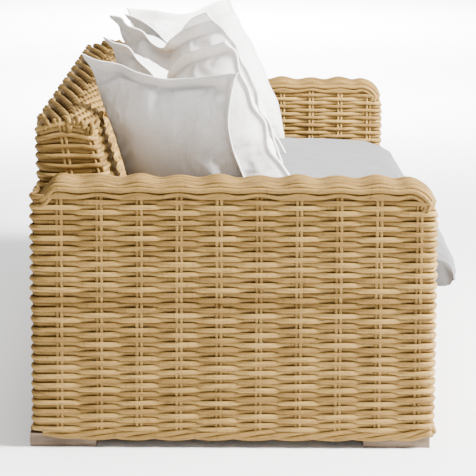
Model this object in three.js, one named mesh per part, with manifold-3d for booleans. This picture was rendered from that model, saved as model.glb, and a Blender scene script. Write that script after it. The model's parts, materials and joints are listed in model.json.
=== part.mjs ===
// Rattan garden sofa: a timber frame in a woven cane body, with a bench cushion and five scatter cushions.
// Millimetres, +Z up, +X along the width, the front faces -Y. The origin is on the floor under the middle.
import * as THREE from 'three';
import { mergeVertices } from 'three/addons/utils/BufferGeometryUtils.js';
import Module from 'manifold-3d';

const wasm = await Module();
wasm.setup();

// Overall sizes
const WIDTH = 2100;
const FRAME_DEPTH = 914;
const CUSHION_OVERHANG = 50;
const ARM_HEIGHT = 603;
const ARM_THICKNESS = 150;
const ARM_CORNER_RADIUS = 63;
const BACK_REAR_HEIGHT = 712;
const BACK_CROWN_HEIGHT = 730;
const BACK_TOP_DEPTH = 150;
const BACK_SEAT_DEPTH = 258;
const SEAT_HEIGHT = 340;
const GAP = 0.3;

// Woven walls: rows of cane that pass by turns outside and inside the stakes
const WALL = 22;
const WEAVE_DIP = 10;
const ROW_PITCH_TOP = 11.6;
const ROW_PITCH_LOW = 10;
const ROW_NARROW_FROM = 360;
const ROW_NARROW_TO = 120;
const STRAND_RADIUS = 5.3;
const STAKE_PITCH = 88.7;
const FIRST_STAKE = 69;
const DEPTH_STAKES = 10;
const BACK_STAKE_GAPS = 20;
const SKIN = 12;

// Rolled borders
const BORDER_ROUND = 5;
const ARM_BORDER = 27;
const ARM_BORDER_DROP = 73;
const ARM_BORDER_START = 18;
const BACK_BORDER_BASE = 688;
const BASE_BORDER_BOTTOM = 13;
const BASE_BORDER_TOP = 43;
const BASE_BORDER_THICK = 14;
const SIDE_BORDER_START = 42;

// Frame timber, feet and screws
const RAIL = 30;
const POST_INSET = 75;
const FRONT_POST_DEPTH = 830;
const REAR_POST_DEPTH = 26;
const SEAT_RAIL_HEIGHT = 290;
const SLAT_WIDTH = 60;
const SLAT_THICK = 22;
const SLAT_COUNT = 5;
const STRUT_COUNT = 4;
const FOOT_LENGTH = 149;
const FOOT_WIDTH = 90;
const FOOT_HEIGHT = 30;
const FOOT_INSET = 15;
const FOOT_DEPTHS = { rear: 0.5, front: 750 };
const TIMBER_CLEARANCE = 4;
const STRUT_CLEARANCE = 6;
const SCREW_RADIUS = 3;
const SCREW_HEAD_RADIUS = 6;
const SCREW_HEAD_HEIGHT = 4;
const SCREW_RECESS = 3;
const SCREW_TIP = 48;

// Soft parts
const SEAT_CUSHION_EDGE = 424;
const SEAT_CUSHION_CROWN = 17;
const CUSHION_STATIONS = 36;
const CUSHION_CURVE_STEPS = 5;
const CUSHION_END_ROUND = 55;
const CUSHION_END_HEIGHT = 0.62;
const CUSHION_END_DRAW = 0.07;
const CUSHION_NOSE_HEIGHT = 34;
const CUSHION_DEPTH_CROWN = 10;
const CUSHION_SKEW = 18;
const PILLOW_STEPS = 14;
const PILLOW_CROWN = 72;
const PILLOW_RIM = 2.5;
const PILLOW_FLANGE = 0.14;
const PILLOW_PULL = 0.045;
const PILLOW_CHOP_WIDTH = 0.2;
const PILLOW_FOOT = 452;

const REAR_Y = (FRAME_DEPTH + CUSHION_OVERHANG) / 2;
const INNER_X = WIDTH / 2 - ARM_THICKNESS;
const POST_X = WIDTH / 2 - POST_INSET;

const sofa = new THREE.Group();

const CANE = { color: 0xc4a068, roughness: 0.62, metalness: 0 };
const BORDER_CANE = { color: 0xceab74, roughness: 0.58, metalness: 0 };
const TIMBER = { color: 0xa98a63, roughness: 0.75, metalness: 0 };
const FOOT_WOOD = { color: 0x8d7663, roughness: 0.7, metalness: 0 };
const ZINC = { color: 0xb4b6b8, roughness: 0.35, metalness: 1 };
const SEAT_CLOTH = { color: 0xe3e5ea, roughness: 0.9, metalness: 0 };
const LINEN = { color: 0xeceae6, roughness: 0.92, metalness: 0 };

function addPart(name, geometry, finish) {
  const mesh = new THREE.Mesh(geometry, new THREE.MeshStandardMaterial(finish));
  mesh.name = name;
  sofa.add(mesh);
  return mesh;
}

// Depths are measured forward from the rear face of the frame.
function depthToY(depth) {
  return REAR_Y - depth;
}

function boxGeometry(x, depth, height) {
  const geometry = new THREE.BoxGeometry(x[1] - x[0], depth[1] - depth[0], height[1] - height[0]);
  const middle = (span) => (span[0] + span[1]) / 2;
  return geometry.translate(middle(x), depthToY(middle(depth)), middle(height));
}

// Extrudes a side view, drawn in depth and height, across the width between two places on X.
function acrossWidth(profile, x, round = 0) {
  const geometry = new THREE.ExtrudeGeometry(profile, {
    depth: x[1] - x[0] - 2 * round,
    curveSegments: 8,
    bevelEnabled: round > 0,
    bevelSize: round,
    bevelOffset: -round,
    bevelThickness: round,
    bevelSegments: 2,
  });
  const turn = new THREE.Matrix4().makeBasis(
    new THREE.Vector3(0, -1, 0),
    new THREE.Vector3(0, 0, 1),
    new THREE.Vector3(-1, 0, 0),
  );
  return geometry.applyMatrix4(turn).translate(x[1] - round, REAR_Y, 0);
}

function toSolid(geometry) {
  const bare = geometry.clone();
  bare.deleteAttribute('normal');
  bare.deleteAttribute('uv');
  const merged = mergeVertices(bare, 1e-3);
  return new wasm.Manifold(new wasm.Mesh({
    numProp: 3,
    vertProperties: new Float32Array(merged.attributes.position.array),
    triVerts: new Uint32Array(merged.index.array),
  }));
}

function toGeometry(solid) {
  const mesh = solid.getMesh();
  const geometry = new THREE.BufferGeometry();
  geometry.setAttribute('position', new THREE.BufferAttribute(mesh.vertProperties, 3));
  geometry.setIndex(new THREE.BufferAttribute(mesh.triVerts, 1));
  geometry.computeVertexNormals();
  return geometry;
}

function cut(geometry, ...tools) {
  const left = tools.reduce((solid, tool) => solid.subtract(toSolid(tool)), toSolid(geometry));
  return toGeometry(left);
}

function shared(first, second) {
  return toGeometry(toSolid(first).intersect(toSolid(second)));
}

function polygon(points) {
  return new THREE.Shape(points.map(([depth, height]) => new THREE.Vector2(depth, height)));
}

function sides() {
  return [['left', -1], ['right', 1]];
}

// Orders a span that was given from the outside of the sofa inwards on one side.
function sideSpan(sign, outer, inner) {
  return sign < 0 ? [-outer, -inner] : [inner, outer];
}

// Feet and their screws
function screwGeometry() {
  const head = SCREW_RECESS + SCREW_HEAD_HEIGHT;
  const outline = [
    [0, SCREW_RECESS],
    [SCREW_HEAD_RADIUS, SCREW_RECESS],
    [SCREW_HEAD_RADIUS, head],
    [SCREW_RADIUS, head],
    [SCREW_RADIUS, SCREW_TIP - 2 * SCREW_RADIUS],
    [0, SCREW_TIP],
  ];
  const profile = outline.map(([radius, height]) => new THREE.Vector2(radius, height));
  return new THREE.LatheGeometry(profile, 12).rotateX(Math.PI / 2);
}

function screwHole(x, depth) {
  const shaft = new THREE.CylinderGeometry(SCREW_RADIUS + GAP, SCREW_RADIUS + GAP, SCREW_TIP + 2, 12);
  shaft.rotateX(Math.PI / 2).translate(x, depthToY(depth), SCREW_TIP / 2);
  return shaft;
}

function screwRecess(x, depth) {
  const top = SCREW_RECESS + SCREW_HEAD_HEIGHT + GAP;
  const recess = new THREE.CylinderGeometry(SCREW_HEAD_RADIUS + GAP, SCREW_HEAD_RADIUS + GAP, top + 1, 12);
  recess.rotateX(Math.PI / 2).translate(x, depthToY(depth), (top - 1) / 2);
  return recess;
}

function screwDepths(footDepth) {
  return [footDepth + FOOT_LENGTH * 0.25, footDepth + FOOT_LENGTH * 0.75];
}

function buildFeet() {
  for (const [side, sign] of sides()) {
    for (const [place, start] of Object.entries(FOOT_DEPTHS)) {
      const outer = WIDTH / 2 - FOOT_INSET;
      const block = boxGeometry(sideSpan(sign, outer, outer - FOOT_WIDTH),
        [start, start + FOOT_LENGTH], [0, FOOT_HEIGHT]);
      const x = sign * POST_X;
      const holes = screwDepths(start).flatMap((depth) => [screwHole(x, depth), screwRecess(x, depth)]);
      addPart(`foot_${place}_${side}`, cut(block, ...holes), FOOT_WOOD);
      screwDepths(start).forEach((depth, index) => {
        const screw = addPart(`foot_screw_${place}_${side}_${index + 1}`, screwGeometry(), ZINC);
        screw.position.set(x, depthToY(depth), 0);
      });
    }
  }
}

// The timber frame inside the woven body
function rail(name, x, depth, height) {
  addPart(name, boxGeometry(x, depth, height), TIMBER);
}

function buildBaseFrame() {
  const base = [FOOT_HEIGHT + GAP, FOOT_HEIGHT + RAIL];
  const frontEdge = FRAME_DEPTH - WALL - GAP;
  const between = POST_X - RAIL / 2 - GAP;
  for (const [side, sign] of sides()) {
    const x = sideSpan(sign, POST_X + RAIL / 2, POST_X - RAIL / 2);
    const bar = boxGeometry(x, [REAR_POST_DEPTH, frontEdge], base);
    const depths = Object.values(FOOT_DEPTHS).flatMap(screwDepths);
    const holes = depths.map((depth) => screwHole(sign * POST_X, depth));
    addPart(`base_rail_${side}`, cut(bar, ...holes), TIMBER);
  }
  rail('base_rail_front', [-between, between], [frontEdge - RAIL, frontEdge], base);
  rail('base_rail_rear', [-between, between], [REAR_POST_DEPTH, REAR_POST_DEPTH + RAIL], base);
}

// The arm's top bar runs forward from the rear post and bends down to the front post.
function armRailProfile(bottom) {
  const outerRadius = ARM_CORNER_RADIUS;
  const innerRadius = outerRadius - RAIL;
  const front = FRONT_POST_DEPTH + RAIL;
  const shape = new THREE.Shape();
  shape.moveTo(REAR_POST_DEPTH, bottom);
  shape.lineTo(front - outerRadius, bottom);
  shape.absarc(front - outerRadius, bottom - innerRadius, innerRadius, Math.PI / 2, 0, true);
  shape.lineTo(front, bottom - innerRadius);
  shape.absarc(front - outerRadius, bottom - innerRadius, outerRadius, 0, Math.PI / 2, false);
  shape.lineTo(REAR_POST_DEPTH, bottom + RAIL);
  return shape;
}

function buildArmFrames() {
  const armRailBottom = ARM_HEIGHT - ARM_BORDER - SKIN - RAIL - TIMBER_CLEARANCE;
  const postBottom = FOOT_HEIGHT + RAIL + GAP;
  const frontPostTop = armRailBottom - ARM_CORNER_RADIUS + RAIL - GAP;
  for (const [side, sign] of sides()) {
    const x = sideSpan(sign, POST_X + RAIL / 2, POST_X - RAIL / 2);
    const rearDepth = [REAR_POST_DEPTH, REAR_POST_DEPTH + RAIL];
    const frontDepth = [FRONT_POST_DEPTH, FRONT_POST_DEPTH + RAIL];
    rail(`arm_post_rear_${side}`, x, rearDepth, [postBottom, armRailBottom - GAP]);
    rail(`arm_post_front_${side}`, x, frontDepth, [postBottom, frontPostTop]);
    addPart(`arm_rail_${side}`, acrossWidth(armRailProfile(armRailBottom), x), TIMBER);
  }
}

function buildSeatFrame() {
  const height = [SEAT_RAIL_HEIGHT, SEAT_RAIL_HEIGHT + RAIL];
  const behindFrontPost = FRONT_POST_DEPTH - GAP;
  const rearRail = [BACK_SEAT_DEPTH - SKIN - 2 * RAIL, BACK_SEAT_DEPTH - SKIN - RAIL];
  const frontRail = [FRONT_POST_DEPTH + RAIL + GAP, FRAME_DEPTH - WALL - GAP];
  const between = POST_X - RAIL / 2 - GAP;
  for (const [side, sign] of sides()) {
    const x = sideSpan(sign, POST_X + RAIL / 2, POST_X - RAIL / 2);
    rail(`seat_rail_${side}`, x, [REAR_POST_DEPTH + RAIL + GAP, behindFrontPost], height);
  }
  rail('seat_rail_front', [-POST_X - RAIL / 2, POST_X + RAIL / 2], frontRail, height);
  rail('seat_rail_rear', [-between, between], rearRail, height);
  const pitch = (2 * INNER_X) / (SLAT_COUNT + 1);
  for (let index = 1; index <= SLAT_COUNT; index += 1) {
    const x = -INNER_X + index * pitch;
    const span = [x - SLAT_WIDTH / 2, x + SLAT_WIDTH / 2];
    const depth = [rearRail[1] + GAP, frontRail[0] - GAP];
    rail(`seat_slat_${index}`, span, depth, [height[1] - SLAT_THICK, height[1]]);
  }
}

// Uprights stand on the rear base rail; raked struts join the rear seat rail to the front top rail.
function buildBackFrame() {
  const postBottom = FOOT_HEIGHT + RAIL + GAP;
  const railTop = BACK_BORDER_BASE - SKIN - TIMBER_CLEARANCE;
  const topRail = [railTop - RAIL, railTop];
  const half = INNER_X - WALL - 2 * TIMBER_CLEARANCE;
  const rearDepth = [REAR_POST_DEPTH, REAR_POST_DEPTH + RAIL];
  const frontDepth = [BACK_TOP_DEPTH - SKIN - 2 * RAIL, BACK_TOP_DEPTH - SKIN - RAIL];
  rail('back_rail_top_rear', [-half, half], rearDepth, topRail);
  rail('back_rail_top_front', [-half, half], frontDepth, topRail);
  const strutFoot = SEAT_RAIL_HEIGHT + RAIL + STRUT_CLEARANCE;
  const foot = new THREE.Vector2(BACK_SEAT_DEPTH - SKIN - 1.5 * RAIL, strutFoot);
  const head = new THREE.Vector2((frontDepth[0] + frontDepth[1]) / 2, topRail[0] - STRUT_CLEARANCE);
  const rake = Math.atan2(foot.x - head.x, head.y - foot.y);
  const pitch = (2 * (half - RAIL)) / (STRUT_COUNT - 1);
  for (let index = 0; index < STRUT_COUNT; index += 1) {
    const x = -half + RAIL + index * pitch;
    const span = [x - RAIL / 2, x + RAIL / 2];
    rail(`back_upright_${index + 1}`, span, rearDepth, [postBottom, topRail[0] - GAP]);
    const strut = addPart(`back_strut_${index + 1}`,
      new THREE.BoxGeometry(RAIL, RAIL * 0.7, foot.distanceTo(head)), TIMBER);
    strut.position.set(x, depthToY((foot.x + head.x) / 2), (foot.y + head.y) / 2);
    strut.rotation.x = -rake;
  }
}

// Side view of an arm inside its border
function armProfile() {
  const crown = ARM_HEIGHT - ARM_BORDER - GAP;
  const step = FRAME_DEPTH - ARM_BORDER - GAP;
  const shoulder = ARM_HEIGHT - ARM_BORDER_DROP - GAP;
  const radius = ARM_CORNER_RADIUS - ARM_BORDER;
  const shape = new THREE.Shape();
  shape.moveTo(0, BASE_BORDER_TOP + GAP);
  shape.lineTo(FRAME_DEPTH, BASE_BORDER_TOP + GAP);
  shape.lineTo(FRAME_DEPTH, shoulder);
  shape.lineTo(step, shoulder);
  shape.lineTo(step, crown - radius);
  shape.absarc(step - radius, crown - radius, radius, 0, Math.PI / 2, false);
  shape.lineTo(0, crown);
  return shape;
}

function armCavityProfile() {
  const crown = ARM_HEIGHT - ARM_BORDER - GAP - SKIN;
  const step = FRAME_DEPTH - ARM_BORDER - GAP - SKIN;
  const shoulder = ARM_HEIGHT - ARM_BORDER_DROP - GAP - SKIN;
  return polygon([
    [WALL, 0],
    [FRAME_DEPTH - WALL, 0],
    [FRAME_DEPTH - WALL, shoulder],
    [step, shoulder],
    [step, crown - ARM_CORNER_RADIUS / 3],
    [step - ARM_CORNER_RADIUS / 3, crown],
    [WALL, crown],
  ]);
}

// Heights of the rows from a wall's top edge down; their pitch narrows towards the floor.
function rowHeights(bottom, top) {
  const heights = [];
  for (let height = top - STRAND_RADIUS; height > bottom + STRAND_RADIUS / 2;) {
    heights.push(height);
    const share = THREE.MathUtils.smoothstep(height, ROW_NARROW_TO, ROW_NARROW_FROM);
    height -= THREE.MathUtils.lerp(ROW_PITCH_LOW, ROW_PITCH_TOP, share);
  }
  return heights;
}

// A block whose sides carry the rows' in-and-out relief. Each stake is a place round the block as
// [x, depth, step in x, step in depth]; the steps lead from the outer face into the block. With every
// row down, and every stake along, the surface is by turns out at the face and dipped in. The block
// runs past both ends with plain rims.
function wovenBlock(stakesAt, bottom, top) {
  const ring = (height, dipped) => stakesAt(height).map(([x, depth, stepX, stepDepth], index) => {
    const dip = dipped(index) ? WEAVE_DIP : 0;
    return new THREE.Vector3(x + stepX * dip, depthToY(depth + stepDepth * dip), height);
  });
  const plain = () => false;
  const outside = (row) => (stake) => (stake + row) % 2 === 1;
  const rows = rowHeights(bottom, top).map((height, row) => ring(height, outside(row)));
  return surfaceFromRings([ring(top + WALL, plain), ...rows, ring(bottom - WALL, plain)], true);
}

function stakeDepths() {
  const between = Array.from({ length: DEPTH_STAKES }, (_, index) => FIRST_STAKE + index * STAKE_PITCH);
  return [0, ...between, FRAME_DEPTH];
}

// Stakes round an arm, from the rear corner forward along the face at x = a, across, and back along b.
function armStakes(a, b) {
  const inward = Math.sign(b - a);
  const depths = stakeDepths();
  const last = depths.length - 1;
  const turn = (index) => (index === 0 ? 1 : 0) - (index === last ? 1 : 0);
  const along = depths.map((depth, index) => [a, depth, inward, turn(index)]);
  const back = depths.map((depth, index) => [b, depth, -inward, turn(index)]).reverse();
  return [...along, [(a + b) / 2, FRAME_DEPTH, 0, -1], ...back, [(a + b) / 2, 0, 0, 1]];
}

function buildArmWalls() {
  const deckUnderside = SEAT_HEIGHT - SKIN - 2 * GAP - GAP;
  for (const [side, sign] of sides()) {
    const [low, high] = sideSpan(sign, WIDTH / 2, INNER_X);
    const stakes = armStakes(low, high);
    const block = wovenBlock(() => stakes, BASE_BORDER_TOP, ARM_HEIGHT - ARM_BORDER);
    const outline = acrossWidth(armProfile(), [low - WALL, high + WALL]);
    const hollow = acrossWidth(armCavityProfile(), sideSpan(sign, WIDTH / 2 - WALL, INNER_X + WALL));
    const underSeat = boxGeometry(sideSpan(sign, INNER_X + 2 * WALL, INNER_X - WALL),
      [WALL, FRAME_DEPTH - WALL], [0, deckUnderside]);
    addPart(`arm_weave_${side}`, cut(shared(block, outline), hollow, underSeat), CANE);
  }
}

function backFaceDepth(height) {
  const slope = (BACK_SEAT_DEPTH - BACK_TOP_DEPTH) / (BACK_BORDER_BASE - SEAT_HEIGHT);
  return BACK_TOP_DEPTH + (BACK_BORDER_BASE - height) * slope;
}

// Stakes round the back at one height: along the raked front, an end, along the upright rear, an end.
function backStakes(height) {
  const half = INNER_X - GAP;
  const front = backFaceDepth(height);
  const pitch = (2 * half) / BACK_STAKE_GAPS;
  const turn = (index) => (index === 0 ? 1 : 0) - (index === BACK_STAKE_GAPS ? 1 : 0);
  const places = Array.from({ length: BACK_STAKE_GAPS + 1 }, (_, index) => -half + index * pitch);
  const along = places.map((x, index) => [x, front, turn(index), -1]);
  const back = places.map((x, index) => [x, 0, turn(index), 1]).reverse();
  return [...along, [half, front / 2, -1, 0], ...back, [-half, front / 2, 1, 0]];
}

function buildBackWall() {
  const top = BACK_BORDER_BASE - GAP;
  const bottom = BASE_BORDER_TOP + GAP;
  const seat = SEAT_HEIGHT - SKIN;
  const inset = WALL * 1.05;
  const ends = [-INNER_X + GAP, INNER_X - GAP];
  const outline = acrossWidth(polygon([
    [-1, bottom],
    [WALL, bottom],
    [WALL, seat],
    [backFaceDepth(seat), seat],
    [backFaceDepth(top), top],
    [-1, top],
  ]), ends);
  const hollow = acrossWidth(polygon([
    [WALL, seat - SKIN],
    [backFaceDepth(seat - SKIN) - inset, seat - SKIN],
    [backFaceDepth(top - SKIN) - inset, top - SKIN],
    [WALL, top - SKIN],
  ]), [ends[0] + WALL, ends[1] - WALL]);
  const block = wovenBlock(backStakes, BASE_BORDER_TOP, BACK_BORDER_BASE);
  addPart('back_weave', cut(shared(block, outline), hollow), CANE);
}

function buildSeatSkins() {
  const ends = [-INNER_X + GAP, INNER_X - GAP];
  const deckTop = SEAT_HEIGHT - 2 * GAP;
  const deckRear = backFaceDepth(SEAT_HEIGHT - SKIN) + GAP;
  addPart('seat_deck_weave', boxGeometry(ends, [deckRear, FRAME_DEPTH - SKIN - GAP],
    [deckTop - SKIN, deckTop]), CANE);
  addPart('apron_weave', boxGeometry(ends, [FRAME_DEPTH - SKIN, FRAME_DEPTH],
    [BASE_BORDER_TOP + GAP, deckTop]), CANE);
}

// Rolled and plaited borders
function armBorderProfile() {
  const inner = ARM_CORNER_RADIUS - ARM_BORDER;
  const corner = new THREE.Vector2(FRAME_DEPTH - ARM_CORNER_RADIUS, ARM_HEIGHT - ARM_CORNER_RADIUS);
  const shape = new THREE.Shape();
  shape.moveTo(ARM_BORDER_START, ARM_HEIGHT - ARM_BORDER);
  shape.lineTo(corner.x, ARM_HEIGHT - ARM_BORDER);
  shape.absarc(corner.x, corner.y, inner, Math.PI / 2, 0, true);
  shape.lineTo(corner.x + inner, ARM_HEIGHT - ARM_BORDER_DROP);
  shape.lineTo(FRAME_DEPTH, ARM_HEIGHT - ARM_BORDER_DROP);
  shape.absarc(corner.x, corner.y, ARM_CORNER_RADIUS, 0, Math.PI / 2, false);
  shape.lineTo(ARM_BORDER_START + 2 * ARM_BORDER, ARM_HEIGHT);
  shape.quadraticCurveTo(ARM_BORDER_START + ARM_BORDER / 2, ARM_HEIGHT - 2,
    ARM_BORDER_START, ARM_HEIGHT - ARM_BORDER * 0.4);
  return shape;
}

function backBorderProfile() {
  const front = backFaceDepth(BACK_BORDER_BASE);
  const shape = new THREE.Shape();
  shape.moveTo(0, BACK_BORDER_BASE);
  shape.lineTo(front, BACK_BORDER_BASE);
  shape.bezierCurveTo(front - 2, BACK_BORDER_BASE + 30, front - 30, BACK_CROWN_HEIGHT, front * 0.55,
    BACK_CROWN_HEIGHT);
  shape.quadraticCurveTo(front * 0.15, BACK_CROWN_HEIGHT, 0, BACK_REAR_HEIGHT - 6);
  return shape;
}

function baseBorderBar(name, x, depth) {
  addPart(name, boxGeometry(x, depth, [BASE_BORDER_BOTTOM, BASE_BORDER_TOP]), BORDER_CANE);
}

function buildBorders() {
  const sideOuter = WIDTH / 2;
  const sideInner = sideOuter - BASE_BORDER_THICK;
  const betweenFeet = sideOuter - FOOT_INSET - FOOT_WIDTH - GAP;
  const frontDepth = [FRAME_DEPTH - BASE_BORDER_THICK, FRAME_DEPTH];
  for (const [side, sign] of sides()) {
    addPart(`arm_border_${side}`, acrossWidth(armBorderProfile(), sideSpan(sign, WIDTH / 2, INNER_X),
      BORDER_ROUND), BORDER_CANE);
    baseBorderBar(`base_border_${side}`, sideSpan(sign, sideOuter, sideInner),
      [SIDE_BORDER_START, FRAME_DEPTH - BASE_BORDER_THICK - GAP]);
  }
  addPart('back_border', acrossWidth(backBorderProfile(), [-INNER_X + GAP, INNER_X - GAP]), BORDER_CANE);
  baseBorderBar('base_border_front', [-sideOuter, sideOuter], frontDepth);
  baseBorderBar('base_border_rear', [-betweenFeet, betweenFeet], [0, BASE_BORDER_THICK]);
}

// Builds a closed surface from rings of points, with a fan over each end. Every second square may be
// split along its other diagonal, so that a chequer of high and low points becomes separate humps.
function surfaceFromRings(rings, chequered = false) {
  const count = rings[0].length;
  const points = rings.flat();
  const faces = [];
  for (let ring = 0; ring < rings.length - 1; ring += 1) {
    for (let step = 0; step < count; step += 1) {
      const next = (step + 1) % count;
      const a = ring * count + step;
      const b = ring * count + next;
      if (chequered && (ring + step) % 2 === 1) {
        faces.push([a, a + count, b], [a + count, b + count, b]);
      } else {
        faces.push([a, b + count, b], [a, a + count, b + count]);
      }
    }
  }
  const last = (rings.length - 1) * count;
  const centres = [rings[0], rings[rings.length - 1]].map((ring) => ring
    .reduce((sum, point) => sum.add(point), new THREE.Vector3()).divideScalar(count));
  points.push(...centres);
  for (let step = 0; step < count; step += 1) {
    const next = (step + 1) % count;
    faces.push([rings.length * count, step, next], [rings.length * count + 1, last + next, last + step]);
  }
  return indexedGeometry(points, faces);
}

function indexedGeometry(points, faces) {
  const geometry = new THREE.BufferGeometry().setFromPoints(points);
  geometry.setIndex(faces.flat());
  geometry.computeVertexNormals();
  return geometry;
}

// The bench cushion: a crowned top, a sloping nose over the front edge and drawn-in ends.
function cushionSection(topHeight, front) {
  const rear = BACK_SEAT_DEPTH + 5;
  const shape = new THREE.Shape();
  shape.moveTo(rear + 14, SEAT_HEIGHT);
  shape.lineTo(front - 14, SEAT_HEIGHT + 1);
  shape.quadraticCurveTo(front - 4, SEAT_HEIGHT + 5, front, SEAT_HEIGHT + CUSHION_NOSE_HEIGHT);
  shape.bezierCurveTo(front - 2, SEAT_HEIGHT + 66, front - 42, topHeight - 6, front - 110, topHeight);
  shape.quadraticCurveTo((front + rear) / 2, topHeight + CUSHION_DEPTH_CROWN, rear + 60, topHeight - 2);
  shape.quadraticCurveTo(rear, topHeight - 4, rear, SEAT_HEIGHT + 46);
  shape.quadraticCurveTo(rear, SEAT_HEIGHT + 4, rear + 14, SEAT_HEIGHT);
  return shape.getPoints(CUSHION_CURVE_STEPS).slice(0, -1);
}

function buildSeatCushion() {
  const half = INNER_X - 4;
  const rings = [];
  for (let station = 0; station <= CUSHION_STATIONS; station += 1) {
    const along = -Math.cos((Math.PI * station) / CUSHION_STATIONS);
    const x = half * Math.sign(along) * Math.abs(along) ** 0.8;
    const fromEnd = Math.min(1, (half - Math.abs(x)) / CUSHION_END_ROUND);
    const swell = Math.sqrt(1 - (1 - fromEnd) ** 2);
    const shrink = CUSHION_END_HEIGHT + (1 - CUSHION_END_HEIGHT) * swell;
    const topHeight = SEAT_CUSHION_EDGE + SEAT_CUSHION_CROWN * (1 - (x / half) ** 4);
    const front = FRAME_DEPTH + CUSHION_OVERHANG - CUSHION_SKEW * Math.max(0, x / half) ** 1.5;
    const middle = new THREE.Vector2((BACK_SEAT_DEPTH + front) / 2, SEAT_HEIGHT + CUSHION_NOSE_HEIGHT);
    const depthShrink = 1 - (1 - shrink) * CUSHION_END_DRAW;
    rings.push(cushionSection(topHeight, front).map((point) => {
      const depth = middle.x + (point.x - middle.x) * depthShrink;
      const height = middle.y + (point.y - middle.y) * (point.y < middle.y ? 1 : shrink);
      return new THREE.Vector3(x, depthToY(depth), height);
    }));
  }
  addPart('seat_cushion', surfaceFromRings(rings), SEAT_CLOTH);
}

// Scatter cushions: each leans between the back and its foot on the seat. Top corners are given as
// [x, depth, height]; the foot is set in from them by a step along the width and a step in depth, which
// may differ at the rear.
// The chop is how far the middle of the top edge is struck down.
const PILLOWS = [
  {
    rearTop: [-650, 100, 853],
    frontTop: [-886, 455, 833],
    footStep: [6, 143],
    rearFootStep: [-70, 140],
    chop: 8,
  },
  { rearTop: [-170, 124, 846], frontTop: [-496, 407, 838], footStep: [60, 125], chop: 60 },
  { rearTop: [276, 116, 865], frontTop: [-20, 390, 850], footStep: [50, 125], chop: 60 },
  { rearTop: [483, 150, 853], frontTop: [220, 366, 858], footStep: [60, 125], chop: 70 },
  { rearTop: [700, 118, 838], frontTop: [886, 425, 848], footStep: [-60, 187], chop: 26 },
];

function pillowCorners(pillow) {
  const place = ([x, depth, height]) => new THREE.Vector3(x, depthToY(depth), height);
  const drop = (top) => {
    const step = (top === pillow.rearTop && pillow.rearFootStep) || pillow.footStep;
    return [top[0] + step[0], top[1] + step[1], PILLOW_FOOT];
  };
  const tops = [pillow.rearTop, pillow.frontTop].sort((first, second) => first[0] - second[0]);
  return {
    topLeft: place(tops[0]),
    topRight: place(tops[1]),
    footLeft: place(drop(tops[0])),
    footRight: place(drop(tops[1])),
  };
}

// A pillow is a sheet between four corners, drawn in along its sides, with a swell on both faces.
function pillowPoint(corners, across, up, side, chop, normal) {
  const pull = (other) => 1 - 2 * PILLOW_PULL * (4 * other * (1 - other)) ** 0.8;
  const drawn = (value, other) => 0.5 + (value - 0.5) * pull(other);
  const s = drawn(across, up);
  const t = drawn(up, across);
  const foot = corners.footLeft.clone().lerp(corners.footRight, s);
  const top = corners.topLeft.clone().lerp(corners.topRight, s);
  const rise = top.clone().sub(foot).normalize();
  const struck = chop * Math.exp(-(((across - 0.5) / PILLOW_CHOP_WIDTH) ** 2)) * up ** 3;
  const point = foot.lerp(top, t).addScaledVector(rise, -struck);
  const bulge = (value) => Math.max(0, 1 - (Math.abs(2 * value - 1) / (1 - PILLOW_FLANGE)) ** 2);
  const swell = PILLOW_RIM + PILLOW_CROWN * (bulge(across) * bulge(up)) ** 0.55;
  return point.addScaledVector(normal, side * swell);
}

function pillowGeometry(pillow) {
  const corners = pillowCorners(pillow);
  const along = corners.footRight.clone().sub(corners.footLeft);
  const rise = corners.topLeft.clone().sub(corners.footLeft);
  const normal = along.cross(rise).normalize();
  const size = PILLOW_STEPS + 1;
  const spread = (index) => 0.5 - 0.5 * Math.cos((Math.PI * index) / PILLOW_STEPS);
  const points = [];
  for (const side of [1, -1]) {
    for (let row = 0; row < size; row += 1) {
      for (let column = 0; column < size; column += 1) {
        points.push(pillowPoint(corners, spread(column), spread(row), side, pillow.chop, normal));
      }
    }
  }
  const faces = [];
  const back = size * size;
  for (let row = 0; row < PILLOW_STEPS; row += 1) {
    for (let column = 0; column < PILLOW_STEPS; column += 1) {
      const a = row * size + column;
      const c = a + size;
      faces.push([a, a + 1, c + 1], [a, c + 1, c]);
      faces.push([back + a, back + c + 1, back + a + 1], [back + a, back + c, back + c + 1]);
    }
  }
  for (let index = 0; index < PILLOW_STEPS; index += 1) {
    const rim = [
      [index, index + 1],
      [PILLOW_STEPS * size + index + 1, PILLOW_STEPS * size + index],
      [(index + 1) * size, index * size],
      [index * size + PILLOW_STEPS, (index + 1) * size + PILLOW_STEPS],
    ];
    for (const [a, b] of rim) {
      faces.push([back + a, back + b, b], [back + a, b, a]);
    }
  }
  return indexedGeometry(points, faces);
}

buildFeet();
buildBaseFrame();
buildArmFrames();
buildSeatFrame();
buildBackFrame();
buildArmWalls();
buildBackWall();
buildSeatSkins();
buildBorders();
buildSeatCushion();
PILLOWS.forEach((pillow, index) => addPart(`pillow_${index + 1}`, pillowGeometry(pillow), LINEN));

export default sofa;
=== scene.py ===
"""Rattan garden sofa: round cane woven over stakes, rolled and plaited borders, and loose cushions."""

import json
import logging
import math
from dataclasses import dataclass, field
from enum import Enum

import bpy
import numpy as np
from mathutils import Matrix, Vector

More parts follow.
